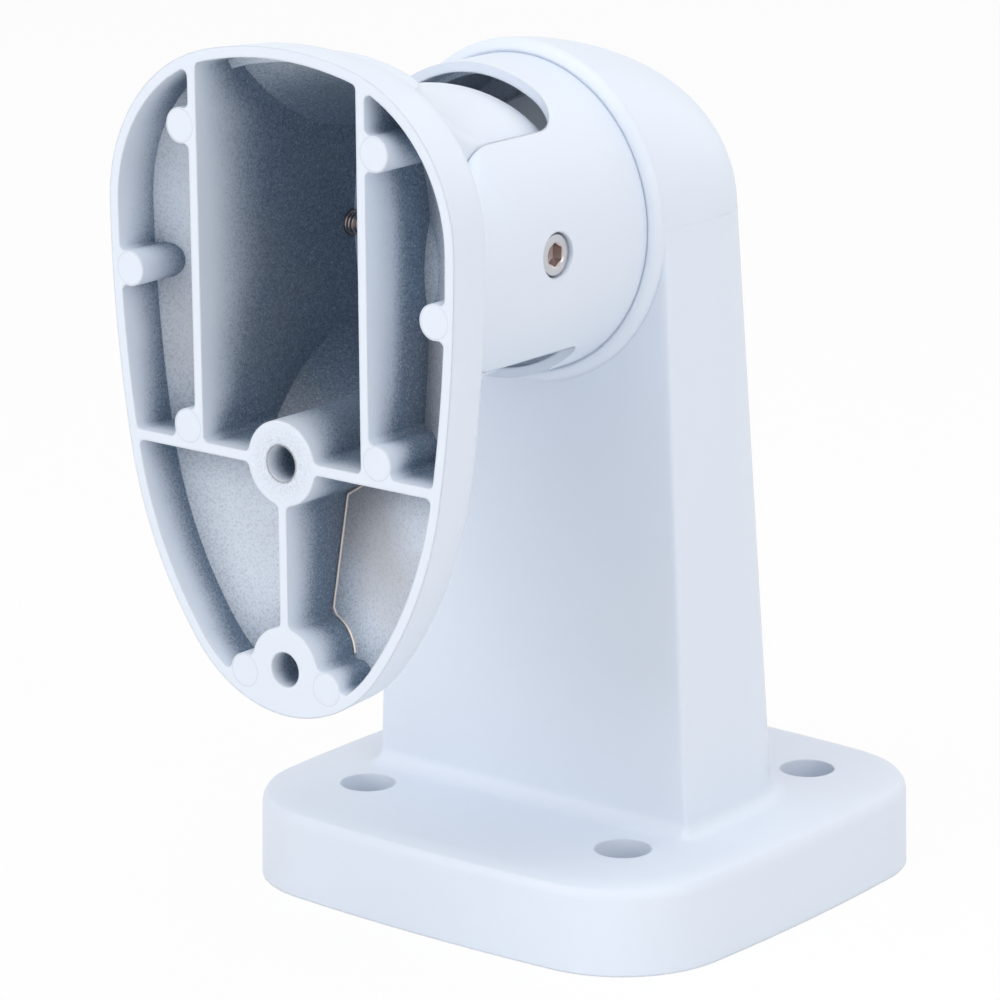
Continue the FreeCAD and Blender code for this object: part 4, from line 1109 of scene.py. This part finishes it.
@dataclass
class InnerPieces:
    """Screws, rings, seal and bush that keep their CAD shape."""

    steel: Stainless = Stainless()
    # the tilt screws' steel carries a painted warm reflection in the key sockets
    tilt_steel: Stainless = Stainless(name="stainless_tilt", socket_reflection_radius=0.0031)
    plastic: Moulded = Moulded("acetal_black", (0.02, 0.02, 0.022), 0.5)
    rubber: Moulded = Moulded("rubber_black", (0.012, 0.012, 0.012), 0.7)
    flake: Moulded = Moulded("zinc_flake", (0.60, 0.66, 0.73), 0.5)
    flaked: str = "clamp_ring"

    def build(self) -> int:
        """Make the detailed screws and give each other inner node its finish.

        Returns:
            How many nodes were dressed.
        """
        steel = self.steel.build()
        tilt_steel = self.tilt_steel.build()
        tilt, clamp = all_screws()
        for screws, finish in ((tilt, tilt_steel), (clamp, steel)):
            LOG.info("piece %s", screws.build(finish).name)
        finishes = {
            Slot.STAINLESS.value: steel,
            Slot.ACETAL.value: self.plastic.build(),
            Slot.SEAL.value: self.rubber.build(),
        }
        flake = self.flake.build()
        count = 0
        for part in frame["record"]["subparts"]:
            finish = flake if part["node"] == self.flaked else finishes.get(part["material_slot"])
            node = frame["nodes"][part["node"]]
            if finish is None or node.hide_render:
                continue
            for number in range(len(node.material_slots)):
                node.material_slots[number].link = "OBJECT"
                node.material_slots[number].material = finish
            count += 1
        return count


# Studio


@dataclass(frozen=True)
class PhotoCamera:
    """Camera fitted to the photograph, in millimetres and pixels of a frame 1000 wide."""

    focal_pixels: float = 4609.6
    distance: float = 1189.34
    azimuth: float = 38.87
    elevation: float = 15.28
    roll: float = -0.34
    target_right: float = -20.93
    target_up: float = 92.25
    middle: tuple = (507.37, 502.36)
    frame_size: float = 1000.0
    sensor: float = 36.0
    clip: tuple = (0.05, 50.0)

    def build(self) -> bpy.types.Object:
        """Make the camera and set it on the scene.

        Returns:
            The camera object.
        """
        turn, rise, roll = (math.radians(value) for value in (self.azimuth, self.elevation, self.roll))
        right = Vector((math.cos(turn), math.sin(turn), 0.0))
        back = Vector((math.sin(turn) * math.cos(rise), -math.cos(turn) * math.cos(rise), math.sin(rise)))
        up = back.cross(right)
        across = right * math.cos(roll) + up * math.sin(roll)
        above = up * math.cos(roll) - right * math.sin(roll)
        target = across * self.target_right + above * self.target_up
        place = (target + back * self.distance) * MM
        data = bpy.data.cameras.new("photo_camera")
        data.sensor_width = self.sensor
        data.lens = self.focal_pixels * self.sensor / self.frame_size
        data.shift_x = 0.5 - self.middle[0] / self.frame_size
        data.shift_y = self.middle[1] / self.frame_size - 0.5
        data.clip_start, data.clip_end = self.clip
        camera = linked("photo_camera", data)
        rows = zip(across, above, back, place)
        camera.matrix_world = Matrix([list(row) for row in rows] + [[0.0, 0.0, 0.0, 1.0]])
        bpy.context.scene.camera = camera
        return camera


@dataclass
class Studio:
    """Pale floor, soft lamps and a white world."""

    floor_size: float = 6.0
    floor_level: float = -0.0002
    floor_glow: float = 0.93
    ambient: float = 0.4
    aim: tuple = (0.0, -0.03, 0.1)
    lamps: tuple = (
        ("top", (0.2, -0.3, 1.9), 1.8, 16.0),
        ("right", (1.7, -0.5, 0.9), 1.5, 10.0),
        ("front", (-0.7, -1.8, 0.9), 1.5, 15.5),
        ("back", (0.4, 1.7, 1.1), 1.4, 5.0),
    )

    def build(self) -> None:
        """Make floor, lamps and world."""
        mesh = bpy.data.meshes.new("floor")
        half = self.floor_size / 2
        corners = [(across, along, self.floor_level) for across, along in
                   ((-half, -half), (half, -half), (half, half), (-half, half))]
        mesh.from_pydata(corners, [], [(0, 1, 2, 3)])
        floor = linked("floor", mesh)
        mesh.materials.append(self.floor_material())
        for name, place, width, power in self.lamps:
            data = bpy.data.lights.new(name, "AREA")
            data.shape = "SQUARE"
            data.size = width
            data.energy = power
            lamp = linked(name, data)
            lamp.location = place
            towards = Vector(self.aim) - Vector(place)
            lamp.rotation_euler = towards.to_track_quat("-Z", "Y").to_euler()
        self.world()

    def floor_material(self) -> bpy.types.Material:
        """Make a white floor that shows a faint shadow.

        Returns:
            The material.
        """
        graph = Graph("floor_white")
        paths = graph.node("ShaderNodeLightPath")
        kinds = ("Is Camera Ray", "Is Glossy Ray")
        by_camera, by_gloss = (Wire(graph, paths.outputs[kind]) for kind in kinds)
        seen = by_camera.at_least(by_gloss)
        matt = graph.node("ShaderNodeBsdfDiffuse", None, Color=(0.9, 0.9, 0.9, 1.0))
        glow = graph.node("ShaderNodeEmission", None, Color=(1.0, 1.0, 1.0, 1.0), Strength=1.0)
        mix = graph.node("ShaderNodeMixShader", None, s0=seen * self.floor_glow)
        graph.tree.links.new(matt.outputs[0], mix.inputs[1])
        graph.tree.links.new(glow.outputs[0], mix.inputs[2])
        output = graph.node("ShaderNodeOutputMaterial")
        graph.tree.links.new(mix.outputs[0], output.inputs[0])
        return graph.material

    def world(self) -> None:
        """Set a soft world that the camera sees as white."""
        world = bpy.data.worlds.new("studio")
        bpy.context.scene.world = world
        world.use_nodes = True
        tree = world.node_tree
        tree.nodes.clear()
        paths = tree.nodes.new("ShaderNodeLightPath")
        seen = tree.nodes.new("ShaderNodeMath")
        seen.operation = "MAXIMUM"
        tree.links.new(paths.outputs["Is Camera Ray"], seen.inputs[0])
        tree.links.new(paths.outputs["Is Glossy Ray"], seen.inputs[1])
        strength = tree.nodes.new("ShaderNodeMapRange")
        strength.inputs["To Min"].default_value = self.ambient
        strength.inputs["To Max"].default_value = 1.0
        tree.links.new(seen.outputs[0], strength.inputs["Value"])
        background = tree.nodes.new("ShaderNodeBackground")
        background.inputs["Color"].default_value = (1.0, 1.0, 1.0, 1.0)
        tree.links.new(strength.outputs[0], background.inputs["Strength"])
        output = tree.nodes.new("ShaderNodeOutputWorld")
        tree.links.new(background.outputs[0], output.inputs[0])


def main() -> None:
    """Build the camera, the pieces and the studio."""
    logging.basicConfig(level=logging.INFO, format="%(name)s: %(message)s")
    bpy.context.scene.view_settings.view_transform = "Standard"
    PhotoCamera().build()
    for piece in Castings().build():
        LOG.info("piece %s with %d faces", piece.name, len(piece.data.polygons))
    LOG.info("dressed %d inner nodes", InnerPieces().build())
    Studio().build()


if __name__ == "__main__":
    main()
